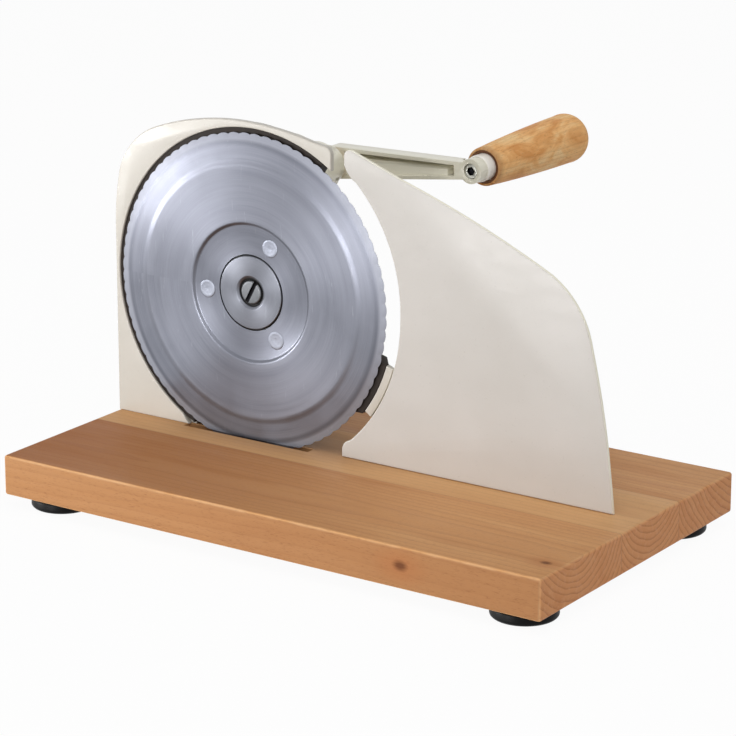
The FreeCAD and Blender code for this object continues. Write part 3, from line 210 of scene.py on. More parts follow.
def beech_board(name):
    """Three glued staves: rings, fibres, ray flecks, stains, knots, rubbed edges with a painted
    highlight, and painted shade on the top face, the front face and round the blade's slot.
    """
    g = Graph(name)
    x, y, z = g.split(g.coords)
    first, second = (g.math("GREATER_THAN", y, seam * MM) for seam in STAVE_SEAMS)

    def by_stave(*values):
        low = g.math("MULTIPLY_ADD", first, values[1] - values[0], values[0])
        return g.math("MULTIPLY_ADD", second, values[2] - values[1], low)

    pith_y = by_stave(-0.106, -0.029, 0.085)
    pith_z = by_stave(0.052, 0.050, 0.075)
    shift = by_stave(0.0, 3.7, 9.1)
    point = g.join(g.math("ADD", x, shift), y, z)
    ring, far = wood_rings(g, point, (pith_y, pith_z), 0.0034, 0.011)
    late = g.ramp(ring, (0.0, 0.05), (0.62, 0.22), (0.90, 0.9), (0.97, 1.0), (1.0, 0.05))
    wide = g.noise(g.join(g.math("MULTIPLY", point_x(g, point), 3.0),
                          g.math("MULTIPLY", far, 90.0), shift), 1.0, 3.0, 0.55)
    fibre = g.noise(g.join(g.math("MULTIPLY", point_x(g, point), 34.0),
                           g.math("MULTIPLY", y, 1500.0), g.math("MULTIPLY", z, 1500.0)),
                    1.0, 4.0, 0.6)
    pores = g.noise(g.join(g.math("MULTIPLY", point_x(g, point), 330.0),
                           g.math("MULTIPLY", y, 3600.0), g.math("MULTIPLY", z, 3600.0)),
                    1.0, 1.0, 0.5)
    stain = g.noise(g.join(g.math("MULTIPLY", point_x(g, point), 8.0),
                           g.math("MULTIPLY", y, 46.0), g.math("MULTIPLY", z, 46.0)),
                    1.0, 4.0, 0.6, 0.5)
    ends = g.between(g.math("ABSOLUTE", x), 0.1716, 0.1722)
    upper = g.between(z, 0.0304, 0.0307)
    sides = g.math("SUBTRACT", 1.0, ends)
    top = g.math("MULTIPLY", upper, sides)
    colour = g.ramp(wide, (0.30, linear(208, 151, 98)), (0.50, linear(218, 164, 109)),
                    (0.72, linear(228, 177, 123)))
    share = g.math("MULTIPLY_ADD", ends, 0.62, 0.28)
    colour = g.mix(g.math("MULTIPLY", late, share), colour, linear(146, 90, 54))
    colour = g.mix(g.between(stain, 0.50, 0.72, 0.0, 0.34), colour, linear(164, 102, 62))
    colour = g.mix(g.between(fibre, 0.35, 0.70, 0.0, 0.26), colour, linear(212, 166, 122))
    # Painted shade: the top face darker, more on the outer staves
    colour = g.mix(g.math("MULTIPLY", top, by_stave(0.22, 0.04, 0.26)), colour,
                   linear(166, 106, 62))
    # Painted shade: the left part of the top face darker still
    left_top_shade = g.math("MULTIPLY", g.between(x, -0.17, 0.08, 0.72, 0.0), by_stave(1.0, 0.3, 0.45))
    colour = g.mix(g.math("MULTIPLY", top, left_top_shade), colour, linear(146, 80, 28))
    # Painted shade: the front face darker, more towards the right end
    front = g.between(y, (BOARD_FRONT + 0.5) * MM, (BOARD_FRONT + 0.1) * MM)
    colour = g.mix(g.math("MULTIPLY", front, g.between(x, -0.17, 0.17, 0.66, 0.78)), colour,
                   linear(152, 104, 66))
    rough_end = g.noise(g.stretched((300, 420, 420)), 1.0, 4.0, 0.7)
    colour = g.mix(g.math("MULTIPLY", ends, g.between(rough_end, 0.5, 0.66, 0.0, 0.45)), colour,
                   linear(222, 180, 142))
    fleck = g.ramp(pores, (0.63, 0.0), (0.70, 1.0))
    colour = g.mix(g.math("MULTIPLY", fleck, 0.42), colour, linear(128, 78, 46))
    # Painted shadow: darker round the blade's slot, where the blade shades the board
    slot = g.vector("LENGTH", g.join(g.math("MULTIPLY_ADD", x, 0.22, 0.0140),
                                     g.math("ADD", y, 0.030), 0.0))
    colour = g.mix(g.between(slot, 0.012, 0.026, 0.5, 0.0), colour, linear(112, 62, 40))
    colour = g.mix(g.math("MULTIPLY", sides, by_stave(0.0, 0.34, 0.04)), colour,
                   linear(212, 172, 122))
    colour = g.mix(g.math("MULTIPLY", ends, 0.42), colour, linear(214, 136, 84))
    for knot_x, knot_y, knot_z, size in KNOTS:
        dx = g.math("SUBTRACT", x, knot_x * MM)
        dy = g.math("SUBTRACT", y, knot_y * MM)
        dz = g.math("SUBTRACT", z, knot_z * MM)
        away = g.vector("LENGTH", g.join(g.math("MULTIPLY", dx, 0.62), dy, dz))
        away = g.math("ADD", away, g.math("MULTIPLY", g.math("SUBTRACT", fibre, 0.5), 0.002))
        core = g.between(away, size * MM * 0.35, size * MM, 0.85, 0.0)
        halo = g.between(away, size * MM * 0.8, size * MM * 3.4, 0.42, 0.0)
        colour = g.mix(halo, colour, linear(172, 106, 62))
        colour = g.mix(core, colour, linear(96, 52, 28))
    # Rubbed wear and a painted highlight: the rounded edges lighter in rubbed patches
    near_top = g.between(z, 0.0293, 0.0308)
    near_side = g.between(g.math("ABSOLUTE", x), 0.1708, 0.1725)
    near_front = g.between(y, (BOARD_FRONT + 1.6) * MM, (BOARD_FRONT + 0.1) * MM)
    pairs = [g.math("MULTIPLY", near_top, near_front), g.math("MULTIPLY", near_top, near_side),
             g.math("MULTIPLY", near_side, near_front)]
    edge = g.math("MAXIMUM", g.math("MAXIMUM", pairs[0], pairs[1]), pairs[2])
    rub_and_highlight = g.between(g.noise(g.stretched((60, 60, 60)), 1.0, 3.0), 0.35, 0.6)
    colour = g.mix(g.math("MULTIPLY", g.math("MULTIPLY", edge, rub_and_highlight), 0.6), colour,
                   linear(232, 192, 148))
    seams = [g.between(g.math("ABSOLUTE", g.math("SUBTRACT", y, seam * MM)),
                       0.0001, 0.0005, 1.0, 0.0) for seam in STAVE_SEAMS]
    seam = g.math("MAXIMUM", seams[0], seams[1])
    colour = g.mix(g.math("MULTIPLY", seam, 0.3), colour, linear(130, 84, 50))
    roughness = g.between(stain, 0.3, 0.75, 0.42, 0.56)
    height = g.math("SUBTRACT", g.math("MULTIPLY", fibre, 0.5), g.math("MULTIPLY", fleck, 0.8))
    height = g.math("SUBTRACT", height, g.math("MULTIPLY", seam, 1.2))
    height = g.math("ADD", height, g.math("MULTIPLY", late, 0.25))
    return g.finish(Base_Color=colour, Roughness=roughness, Specular_IOR_Level=0.12,
                    Normal=g.bump(height, 0.35, 0.00025))


def beech_grip(name):
    """Turned beech: cathedral figure, mottled tone, flecks and a darker band at its front end."""
    g = Graph(name)
    x, y, z = g.split(g.vector("SUBTRACT", g.coords, (EYE_X * MM, FACE_Y * MM, EYE_Z * MM)))
    point = g.join(y, x, z)
    ring, far = wood_rings(g, point, (0.021, 0.012), 0.0026, 0.010)
    late = g.ramp(ring, (0.0, 0.0), (0.6, 0.25), (0.9, 1.0), (1.0, 0.05))
    fibre = g.noise(g.join(g.math("MULTIPLY", y, 45.0), g.math("MULTIPLY", x, 1400.0),
                           g.math("MULTIPLY", z, 1400.0)), 1.0, 4.0, 0.6)
    pores = g.noise(g.join(g.math("MULTIPLY", y, 350.0), g.math("MULTIPLY", x, 3000.0),
                           g.math("MULTIPLY", z, 3000.0)), 1.0, 1.0)
    mottle = g.noise(g.join(g.math("MULTIPLY", y, 42.0), g.math("MULTIPLY", x, 85.0),
                            g.math("MULTIPLY", z, 85.0)), 1.0, 3.0, 0.6, 0.8)
    colour = g.ramp(mottle, (0.34, linear(226, 158, 92)), (0.50, linear(248, 194, 130)),
                    (0.66, linear(255, 218, 162)))
    colour = g.mix(g.math("MULTIPLY", late, 0.26), colour, linear(186, 118, 62))
    colour = g.mix(g.between(fibre, 0.35, 0.7, 0.0, 0.25), colour, linear(228, 178, 126))
    fleck = g.ramp(pores, (0.62, 0.0), (0.70, 1.0))
    colour = g.mix(g.math("MULTIPLY", fleck, 0.32), colour, linear(134, 76, 40))
    mouth = g.between(y, (GRIP_FRONT + 0.2) * MM, (GRIP_FRONT + 5.0) * MM, 0.5, 0.0)
    colour = g.mix(mouth, colour, linear(150, 88, 48))
    roughness = g.between(mottle, 0.3, 0.7, 0.46, 0.60)
    height = g.math("SUBTRACT", g.math("MULTIPLY", fibre, 0.5), g.math("MULTIPLY", fleck, 0.7))
    return g.finish(Base_Color=colour, Roughness=roughness, Specular_IOR_Level=0.06,
                    Normal=g.bump(height, 0.3, 0.0002))


def around_blade(g):
    """Radius and angle of a point about the blade's axis."""
    x, y, z = g.split(g.vector("SUBTRACT", g.coords, (AXIS_X * MM, 0, AXIS_Z * MM)))
    radius = g.vector("LENGTH", g.join(x, 0.0, z))
    return radius, g.math("ARCTAN2", z, x)


def brushed_blade(name, light, dark):
    """Steel brushed in circles, with rolling bands, scratches, a ground rim and a darker band
    where the rim starts.
    """
    g = Graph(name)
    radius, angle = around_blade(g)
    ring = g.noise(g.join(g.math("MULTIPLY", radius, 2600.0), g.math("MULTIPLY", angle, 1.1),
                          0.0), 1.0, 4.0, 0.65)
    band = g.noise(g.join(g.math("MULTIPLY", radius, 160.0), g.math("MULTIPLY", angle, 0.5),
                          3.0), 1.0, 3.0, 0.5)
    cloud = g.noise(g.coords, 26.0, 4.0, 0.6)
    scratch = g.noise(g.stretched((900, 900, 60), (2, 0, 5)), 1.0, 2.0, 0.5, 1.5)
    scratch = g.ramp(scratch, (0.69, 0.0), (0.74, 1.0))
    colour = g.ramp(band, (0.3, dark), (0.7, light))
    colour = g.mix(g.between(ring, 0.3, 0.7, 0.0, 0.14), colour, linear(160, 163, 173))
    middle = g.between(radius, 0.0375, 0.0395, 0.3, 0.0)
    colour = g.mix(middle, colour, linear(88, 90, 98))
    rim = g.between(radius, 0.0845, 0.0865)
    colour = g.mix(g.math("MULTIPLY", rim, 0.14), colour, linear(196, 198, 206))
    dark_rim_line = g.math("MULTIPLY", g.between(radius, 0.0820, 0.0838),
                    g.between(radius, 0.0846, 0.0866, 0.34, 0.0))
    colour = g.mix(dark_rim_line, colour, linear(66, 68, 76))
    colour = g.mix(g.math("MULTIPLY", scratch, 0.10), colour, linear(210, 212, 218))
    roughness = g.math("ADD", g.between(cloud, 0.3, 0.7, 0.32, 0.41),
                       g.between(ring, 0.3, 0.7, -0.03, 0.03))
    roughness = g.math("MULTIPLY_ADD", rim, 0.12, roughness)
    tangent = g.add("ShaderNodeTangent", {"direction_type": "RADIAL", "axis": "Y"}).outputs[0]
    height = g.math("ADD", g.math("MULTIPLY", ring, 1.0), g.math("MULTIPLY", band, 0.8))
    return g.finish(Base_Color=colour, Metallic=1.0, Roughness=roughness,
                    Anisotropic=0.60, Anisotropic_Rotation=0.25, Tangent=tangent,
                    Normal=g.bump(height, 0.16, 0.00012))


def metal(name, light, dark, rough, grain=(60, 60, 60), bump=0.2, tarnish=0.15, recess_shade=None):
    """Machined, plated or cast metal: grain, tarnish, uneven polish and, where asked, painted
    shade in a recess: near black beyond a given depth.
    """
    g = Graph(name)
    cloud = g.noise(g.coords, 45.0, 4.0, 0.6)
    fine = g.noise(g.stretched(grain), 12.0, 4.0, 0.65)
    colour = g.ramp(cloud, (0.3, dark), (0.7, light))
    colour = g.mix(g.between(fine, 0.5, 0.8, 0.0, tarnish), colour,
                   tuple(value * 0.45 for value in dark[:3]) + (1.0,))
    # Painted shade: near black deeper than the given depth, in a screw's slot or socket
    if recess_shade is not None:
        depth = g.split(g.coords)[1]
        deep = g.between(depth, (FACE_Y + recess_shade[0]) * MM, (FACE_Y + recess_shade[1]) * MM)
        colour = g.mix(deep, colour, linear(30, 30, 32))
    roughness = g.math("ADD", g.between(cloud, 0.3, 0.7, rough - 0.06, rough + 0.08),
                       g.between(fine, 0.3, 0.7, -0.05, 0.05))
    return g.finish(Base_Color=colour, Metallic=1.0, Roughness=roughness,
                    Normal=g.bump(fine, bump, 0.00015))


def plastic(name, light, dark, rough, gloss=0.5):
    """Moulded plastic or rubber: fine grain, flow clouds and scuffed places."""
    g = Graph(name)
    cloud = g.noise(g.coords, 40.0, 4.0, 0.6)
    fine = g.noise(g.coords, 900.0, 2.0, 0.5)
    scuff = g.ramp(g.noise(g.stretched((160, 500, 260)), 1.0, 4.0, 0.7, 1.0),
                   (0.60, 0.0), (0.72, 1.0))
    colour = g.ramp(cloud, (0.3, dark), (0.7, light))
    colour = g.mix(g.math("MULTIPLY", scuff, 0.12), colour,
                   tuple(min(1.0, value * 1.6 + 0.03) for value in light[:3]) + (1.0,))
    roughness = g.math("ADD", g.between(cloud, 0.3, 0.7, rough - 0.05, rough + 0.06),
                       g.math("MULTIPLY", scuff, 0.12))
    return g.finish(Base_Color=colour, Roughness=roughness, Specular_IOR_Level=gloss,
                    Normal=g.bump(g.math("ADD", fine, scuff), 0.25, 0.00012))


def grey(value):
    return (value, value, value, 1)


# The brown ring in the grip's mouth has a look of its own
MOUTH_LOOK = plastic("mouth_look", linear(116, 74, 44), linear(94, 58, 34), 0.5, 0.3)
MATERIALS = {
    "board_wood": beech_board("board_wood_look"),
    "foot_rubber": plastic("foot_rubber_look", grey(0.006), grey(0.003), 0.42, 0.12),
    "zinc_steel": metal("zinc_steel_look", (0.62, 0.62, 0.60, 1), (0.46, 0.46, 0.45, 1), 0.34),
    "cast_paint": enamel("cast_paint_look", linear(194, 189, 180), linear(186, 181, 171)),
    # The edge colour is a painted highlight on the plate's rounded edges
    "plate_paint": enamel("plate_paint_look", linear(193, 189, 184), linear(185, 181, 175),
                          edge=linear(244, 240, 222)),
    "arm_paint": enamel("arm_paint_look", linear(238, 234, 217), linear(230, 226, 208), 0.30),
    "ferrule_paint": enamel("ferrule_paint_look", linear(254, 250, 243), linear(248, 243, 234),
                            0.28),
    "guard_plastic": plastic("guard_plastic_look", linear(50, 43, 39), linear(38, 33, 30),
                             0.6, 0.15),
    "blade_steel": brushed_blade("blade_steel_look", linear(114, 116, 125), linear(102, 104, 113)),
    "rivet_steel": metal("rivet_steel_look", linear(144, 147, 157), linear(122, 125, 135), 0.46,
                         bump=0.6, tarnish=0.3),
    "cap_steel": brushed_blade("cap_steel_look", linear(119, 121, 128), linear(110, 112, 119)),
    # Painted shade in the slot of the blade's screw
    "screw_steel": metal("screw_steel_look", linear(112, 114, 117), linear(88, 90, 93), 0.40,
                         bump=0.4, recess_shade=(0.2, 0.5)),
    "machined_steel": metal("machined_steel_look", grey(0.60), (0.45, 0.45, 0.46, 1), 0.3,
                            (60, 360, 60)),
    # Painted shade in the eye screw's hex socket
    "dark_steel": metal("dark_steel_look", linear(198, 198, 190), linear(176, 176, 168), 0.34,
                        recess_shade=(69.75, 70.2)),
    "gear_plastic": plastic("gear_plastic_look", (0.78, 0.76, 0.70, 1), (0.68, 0.66, 0.60, 1),
                            0.42),
    "brass": metal("brass_look", (0.72, 0.52, 0.24, 1), (0.55, 0.37, 0.15, 1), 0.34),
    "grip_wood": beech_grip("grip_wood_look"),
    "knob_plastic": plastic("knob_plastic_look", (0.026, 0.026, 0.027, 1),
                            (0.016, 0.016, 0.017, 1), 0.4),
}


# Mesh helpers


def put(name, mesh, body, slot, *stands_for, look=None):
    """Makes the object, gives it its look and ties it to the frame."""
    obj = bpy.data.objects.new(name, mesh)
    bpy.context.scene.collection.objects.link(obj)
    mesh.materials.clear()
    mesh.materials.append(look or MATERIALS[slot])
    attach(obj, body)
    if stands_for:
        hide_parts(*stands_for)
    return obj


def mesh_of(name, points, faces, sharp=32.0):
    """Mesh from millimetre points, with outward normals and smooth shading."""
    mesh = bpy.data.meshes.new(name)
    mesh.from_pydata([Vector(point) * MM for point in points], [], faces)
    return shaded(mesh, sharp)


def shaded(mesh, sharp):
    work = bmesh.new()
    work.from_mesh(mesh)
    bmesh.ops.recalc_face_normals(work, faces=work.faces)
    for face in work.faces:
        face.smooth = True
    limit = math.radians(sharp)
    for edge in work.edges:
        edge.smooth = len(edge.link_faces) == 2 and edge.calc_face_angle(0.0) < limit
    work.to_mesh(mesh)
    work.free()
    return mesh


def rounded(points, radius, steps=4):
    """Closed outline with its corners rounded off, by radius or by one radius for each."""
    count = len(points)
    result = []
    for index, point in enumerate(points):
        size = radius[index] if hasattr(radius, "__len__") else radius
        if size <= 0:
            result.append(tuple(point))
            continue
        here = Vector(point)
        before = Vector(points[index - 1]) - here
        after = Vector(points[(index + 1) % count]) - here
        start = here + before.normalized() * min(size, before.length * 0.45)
        end = here + after.normalized() * min(size, after.length * 0.45)
        for step in range(steps + 1):
            t = step / steps
            result.append(tuple(start.lerp(here, t).lerp(here.lerp(end, t), t)))
    return result


def arc(first, via, last, steps):
    """Points on the circle through three points, the first one left out."""
    ax, ay, bx, by, cx, cy = *first, *via, *last
    d = 2 * (ax * (by - cy) + bx * (cy - ay) + cx * (ay - by))
    a2, b2, c2 = ax * ax + ay * ay, bx * bx + by * by, cx * cx + cy * cy
    x = (a2 * (by - cy) + b2 * (cy - ay) + c2 * (ay - by)) / d
    y = (a2 * (cx - bx) + b2 * (ax - cx) + c2 * (bx - ax)) / d
    radius = math.hypot(ax - x, ay - y)
    start, middle, end = (math.atan2(q - y, p - x) for p, q in (first, via, last))
    sweep = (end - start) % math.tau
    if (middle - start) % math.tau > sweep:
        sweep -= math.tau
    return [(x + radius * math.cos(start + sweep * n / steps),
             y + radius * math.sin(start + sweep * n / steps)) for n in range(1, steps + 1)]


def polar(radius, degrees):
    return (radius * math.cos(math.radians(degrees)), radius * math.sin(math.radians(degrees)))


def lathe(name, profile, centre, turns=96, axis="Y"):
    """Mesh turned about Y (or Z) from (radius, along) points."""
    points, rings = [], []
    for radius, along in profile:
        if radius < 1e-6:
            rings.append([len(points)])
            points.append((0.0, along, 0.0))
            continue
        rings.append(list(range(len(points), len(points) + turns)))
        for n in range(turns):
            x, z = polar(radius, 360.0 * n / turns)
            points.append((x, along, z))
    faces = []
    for low, high in zip(rings, rings[1:] + rings[:1]):
        if len(low) == 1 and len(high) == 1:
            continue
        for n in range(turns):
            m = (n + 1) % turns
            if len(low) == 1:
                faces.append((low[0], high[n], high[m]))
            elif len(high) == 1:
                faces.append((low[n], high[0], low[m]))
            else:
                faces.append((low[n], high[n], high[m], low[m]))
    if axis == "Z":
        points = [(x, -z, y) for x, y, z in points]
    moved = [tuple(Vector(point) + Vector(centre)) for point in points]
    return mesh_of(name, moved, faces)


def plate_mesh(name, outline, centre, front, back, edge=0.6, steps=4):
    """Flat plate from an (x, z) outline, with both its edges rounded over."""
    if sum(a[0] * b[1] - b[0] * a[1] for a, b in zip(outline, outline[1:] + outline[:1])) < 0:
        outline = outline[::-1]
    count = len(outline)
    inward = []
    for n, point in enumerate(outline):
        before = (Vector(point) - Vector(outline[n - 1])).normalized()
        after = (Vector(outline[(n + 1) % count]) - Vector(point)).normalized()
        normal = Vector((-(before.y + after.y), before.x + after.x)).normalized()
        inward.append(normal / max(0.35, normal.dot(Vector((-before.y, before.x)))))
    levels = []
    for step in range(steps + 1):
        turn = math.radians(90.0 * step / steps)
        levels.append((edge * (1 - math.sin(turn)), front + edge * (1 - math.cos(turn))))
    levels += [(inset, front + back - along) for inset, along in reversed(levels)]
    points = []
    for inset, along in levels:
        for (x, z), normal in zip(outline, inward):
            points.append((x + normal.x * inset + centre[0], along + centre[1],
                           z + normal.y * inset + centre[2]))
    faces = [tuple(range(count)), tuple(range(len(points) - count, len(points)))]
    for level in range(len(levels) - 1):
        base = level * count
        for n in range(count):
            m = (n + 1) % count
            faces.append((base + n, base + m, base + count + m, base + count + n))
    return mesh_of(name, points, faces, 40.0)


def dressed(node, body, slot, width=0.35, reshape=None, look=None):
    """Welded copy of a CAD node, reshaped where asked, with its edges rounded over."""
    work = bmesh.new()
    work.from_mesh(NODES[node].data)
    bmesh.ops.remove_doubles(work, verts=work.verts, dist=2e-6)
    if reshape is not None:
        reshape(work)
    bmesh.ops.dissolve_limit(work, angle_limit=math.radians(1.0), verts=work.verts,
                             edges=work.edges, delimit={"NORMAL"})
    for face in work.faces:
        face.smooth = True
    mesh = bpy.data.meshes.new(node + "_dressed")
    work.to_mesh(mesh)
    work.free()
    obj = put(node + "_dressed", mesh, body, slot, node, look=look)
    bevel = obj.modifiers.new("edges", "BEVEL")
    bevel.width = width * MM
    bevel.segments = 3
    bevel.limit_method = "ANGLE"
    bevel.angle_limit = math.radians(30.0)
    bevel.harden_normals = True
    return obj


def cut(work, place, normal, **options):
    """Cuts a mesh in work along a plane."""
    return bmesh.ops.bisect_plane(work, geom=work.verts[:] + work.edges[:] + work.faces[:],
                                  plane_co=place, plane_no=normal, **options)


def cut_edges(result):
    return [item for item in result["geom_cut"] if isinstance(item, bmesh.types.BMEdge)]


def local(x, y, z):
    """Point given from the blade's axis and the plates' face."""
    return (AXIS_X + x, FACE_Y + y, AXIS_Z + z)


# Pieces


def make_base():
    base = NODES["base_board"]
    base.data.materials.clear()
    base.data.materials.append(MATERIALS["board_wood"])
    profile = rounded([(0, 0), (16.6, 0), (18, 1.4), (17.4, 5.8), (14.8, 7.2), (14.8, 8), (0, 8)],
                      [0, 0.8, 1.2, 1.2, 0.6, 0, 0], 5)
    profile = [(0, 3.4), (5.4, 3.4), (5.6, 3.2), (5.6, 0.2), (5.8, 0)] + profile[1:]
    for name, (x, y) in FEET.items():
        mesh = lathe(name + "_dressed", profile, (x, y, 0), 96, axis="Z")
        put(name + "_dressed", mesh, "base", "foot_rubber", name)
    dressed("foot_screws", "base", "zinc_steel", 0.2)


def left_plate_outline():
    toe_z = -78.2
    toe_x = -math.sqrt(PLATE_CUT ** 2 - toe_z ** 2)
    tip = polar(PLATE_CUT, 54.68)
    points = [(-95.2, -84.2), (-95.2, 24.0)]
    corners = [polar(CUT_RADIUS + extra, turn) for extra, turn in (
        (10.8, 154.2), (15.5, 146.9), (17.4, 138.7), (14.5, 127.7), (9.7, 118.3), (6.1, 108.9),
        (3.6, 98.0), (2.5, 86.7), (3.3, 76.0), (6.0, 65.1))]
    for via, last in zip(corners[::2], corners[1::2]):
        points += arc(points[-1], via, last, 22)
    points.append(polar(CUT_RADIUS + 7.9, 61.5))
    points += arc(points[-1], polar(CUT_RADIUS + 8.7, 59.3), (tip[0], tip[1] + 8.4), 8)
    points.append(tip)
    points += arc(tip, polar(PLATE_CUT, 165), (toe_x, toe_z), 160)
    points.append((toe_x + 4.6, -84.2))
    return points


def behind_plate(work):
    """Cuts off the front of the casting, where the smooth plate piece stands."""
    result = cut(work, (0, (FACE_Y + 3.42) * MM, 0), (0, -1, 0), dist=1e-7, clear_outer=True)
    bmesh.ops.holes_fill(work, edges=cut_edges(result), sides=0)


def slim_boss(work):
    """Narrows the crank bearing towards the arm, to 11 mm in radius."""
    for vertex in work.verts:
        x, z = vertex.co.x - CRANK_X * MM, vertex.co.z - CRANK_Z * MM
        far = math.hypot(x, z)
        if vertex.co.y > (FACE_Y + 60.0) * MM and 0.011 < far < 0.02:
            vertex.co.x = CRANK_X * MM + x * 0.011 / far
            vertex.co.z = CRANK_Z * MM + z * 0.011 / far


def short_end(work):
    """Takes the last degrees off the upper end of the guard ring."""
    middle = Vector((AXIS_X, 0, AXIS_Z)) * MM
    turn = math.radians(59.0)
    side = Vector((-math.sin(turn), 0, math.cos(turn)))
    result = cut(work, middle, side, dist=1e-7)
    rim = [edge for edge in cut_edges(result) if (edge.verts[0].co - middle).x > 0]
    gone = []
    for face in work.faces:
        here = face.calc_center_median() - middle
        if here.x > 0 and here.z > 0.03 and here.dot(side) < 0:
            gone.append(face)
    bmesh.ops.delete(work, geom=gone, context="FACES_ONLY")
    bmesh.ops.holes_fill(work, edges=[edge for edge in rim if edge.is_valid], sides=0)
    loose = [vertex for vertex in work.verts if not vertex.link_faces]
    bmesh.ops.delete(work, geom=loose, context="VERTS")


def sloped_floor(work):
    """Raises the floor of the arm's channel, more at its lower side, up to a deep end pocket."""
    turn = math.radians(ARM_RISE)
    along = Vector((math.cos(turn), 0, math.sin(turn)))
    across = Vector((-math.sin(turn), 0, math.cos(turn)))
    hub = Vector((CRANK_X, 0, CRANK_Z)) * MM
    upward = (across * 66 + along * 2.5).normalized()
    line = hub + (along * 10 + across * 3.4) * MM
    for point, normal in ((hub + along * 0.0760, along), (hub + along * 0.0766, along),
                          (line, upward), (line + upward * 0.0002, upward)):
        cut(work, point, normal, dist=1e-7)
    for vertex in work.verts:
        here = vertex.co - hub
        on_floor = abs(vertex.co.y - CHANNEL_FLOOR * MM) < 1e-5
        inner = abs(here.dot(across)) < 0.0105 and 0.002 < here.dot(along) < 0.0762
        if on_floor and inner and (vertex.co - line).dot(upward) < 0.0001:
            share = min(1.0, max(0.0, (here.dot(across) / MM + 5.0) / 8.0))
            vertex.co.y = (FACE_Y + 70.6 + 1.2 * share) * MM


def make_casting():
    outline = left_plate_outline()
    mesh = plate_mesh("casting_plate", outline, local(0, 0, 0), 0.0, 3.45, 0.7, 5)
    put("casting_plate", mesh, "base", "cast_paint", "body_casting")
    lip = [polar(CUT_RADIUS - 0.2, -17.2 - 19.4 * n / 24) for n in range(25)]
    lip += [polar(CUT_RADIUS + 4.4, -36.6 + 19.4 * n / 24) for n in range(25)]
    mesh = plate_mesh("casting_lip", lip, local(0, 0, 0), 1.2, 4.0, 0.5, 4)
    put("casting_lip", mesh, "base", "cast_paint")
    dressed("body_casting", "base", "cast_paint", 0.4, behind_plate)
    dressed("guard_ring", "base", "guard_plastic", 0.25, short_end)
    dressed("gear_cover", "base", "cast_paint", 0.8, slim_boss, look=MATERIALS["arm_paint"])
    for node in ("body_screws", "cover_screws", "axle_nut", "axle_washer"):
        dressed(node, "base", "zinc_steel", 0.25)


def blade_profile():
    """Front and rear of the blade, as (radius, depth) from hole to edge and back."""
    front = [(21.7, -0.4), (37.9, -0.41), (38.3, -0.5), (38.7, -0.75), (39.1, -1.04),
             (39.5, -1.33), (39.8, -1.52), (40.2, -1.6), (40.8, -1.62)]
    front += [(40.8 + 30.0 * n / 6, -1.62 - 0.36 * n / 6) for n in range(1, 7)]
    front += [(71.4, -1.98), (72.0, -1.93), (72.6, -1.84), (73.2, -1.73), (73.8, -1.62)]
    front += [(74.4, -1.53), (75.0, -1.47), (75.6, -1.44)]
    front += [(75.6 + 9.0 * n / 4, -1.44 + 0.46 * n / 4) for n in range(1, 5)]
    front += [(84.6 + 5.4 * n / 8, -0.98 + 0.92 * n / 8) for n in range(1, 9)]
    rear = [(90.0, 0.08), (88.0, 0.2), (85.0, 0.33), (78.0, -0.28), (73.4, -0.7), (72.6, -0.74),
            (60.0, -0.6), (41.0, -0.36), (39.9, -0.3), (39.2, 0.2), (38.4, 0.8), (37.6, 0.85),
            (21.7, 0.85)]
    return front, rear


def make_blade():
    """Blade with a ground, scalloped edge, a fold and a turned down centre."""
    front, rear = blade_profile()
    profile = front + rear
    per_tooth = 16
    turns = TEETH * per_tooth
    points = []
    for index, (radius, depth) in enumerate(profile):
        share = min(1.0, max(0.0, (radius - 87.2) / 2.8))
        for n in range(turns):
            valley = 1.0 - abs(math.sin(math.pi * n / per_tooth)) ** 0.8
            r = radius - 0.85 * share * valley
            grind = 0.04 * math.sin(math.pi * min(1.0, share)) * (0.5 - valley)
            y = depth - (grind + 0.145 * share * valley if index < len(front) else 0.0)
            x, z = polar(r, 360.0 * n / turns)
            points.append(local(x, y, z))
    faces = []
    count = len(profile)
    for level in range(count):
        low, high = level * turns, ((level + 1) % count) * turns
        for n in range(turns):
            m = (n + 1) % turns
            faces.append((low + n, high + n, high + m, low + m))
    mesh = mesh_of("blade_disc", points, faces, 40.0)
    put("blade_disc", mesh, "blade_unit", "blade_steel", "blade")


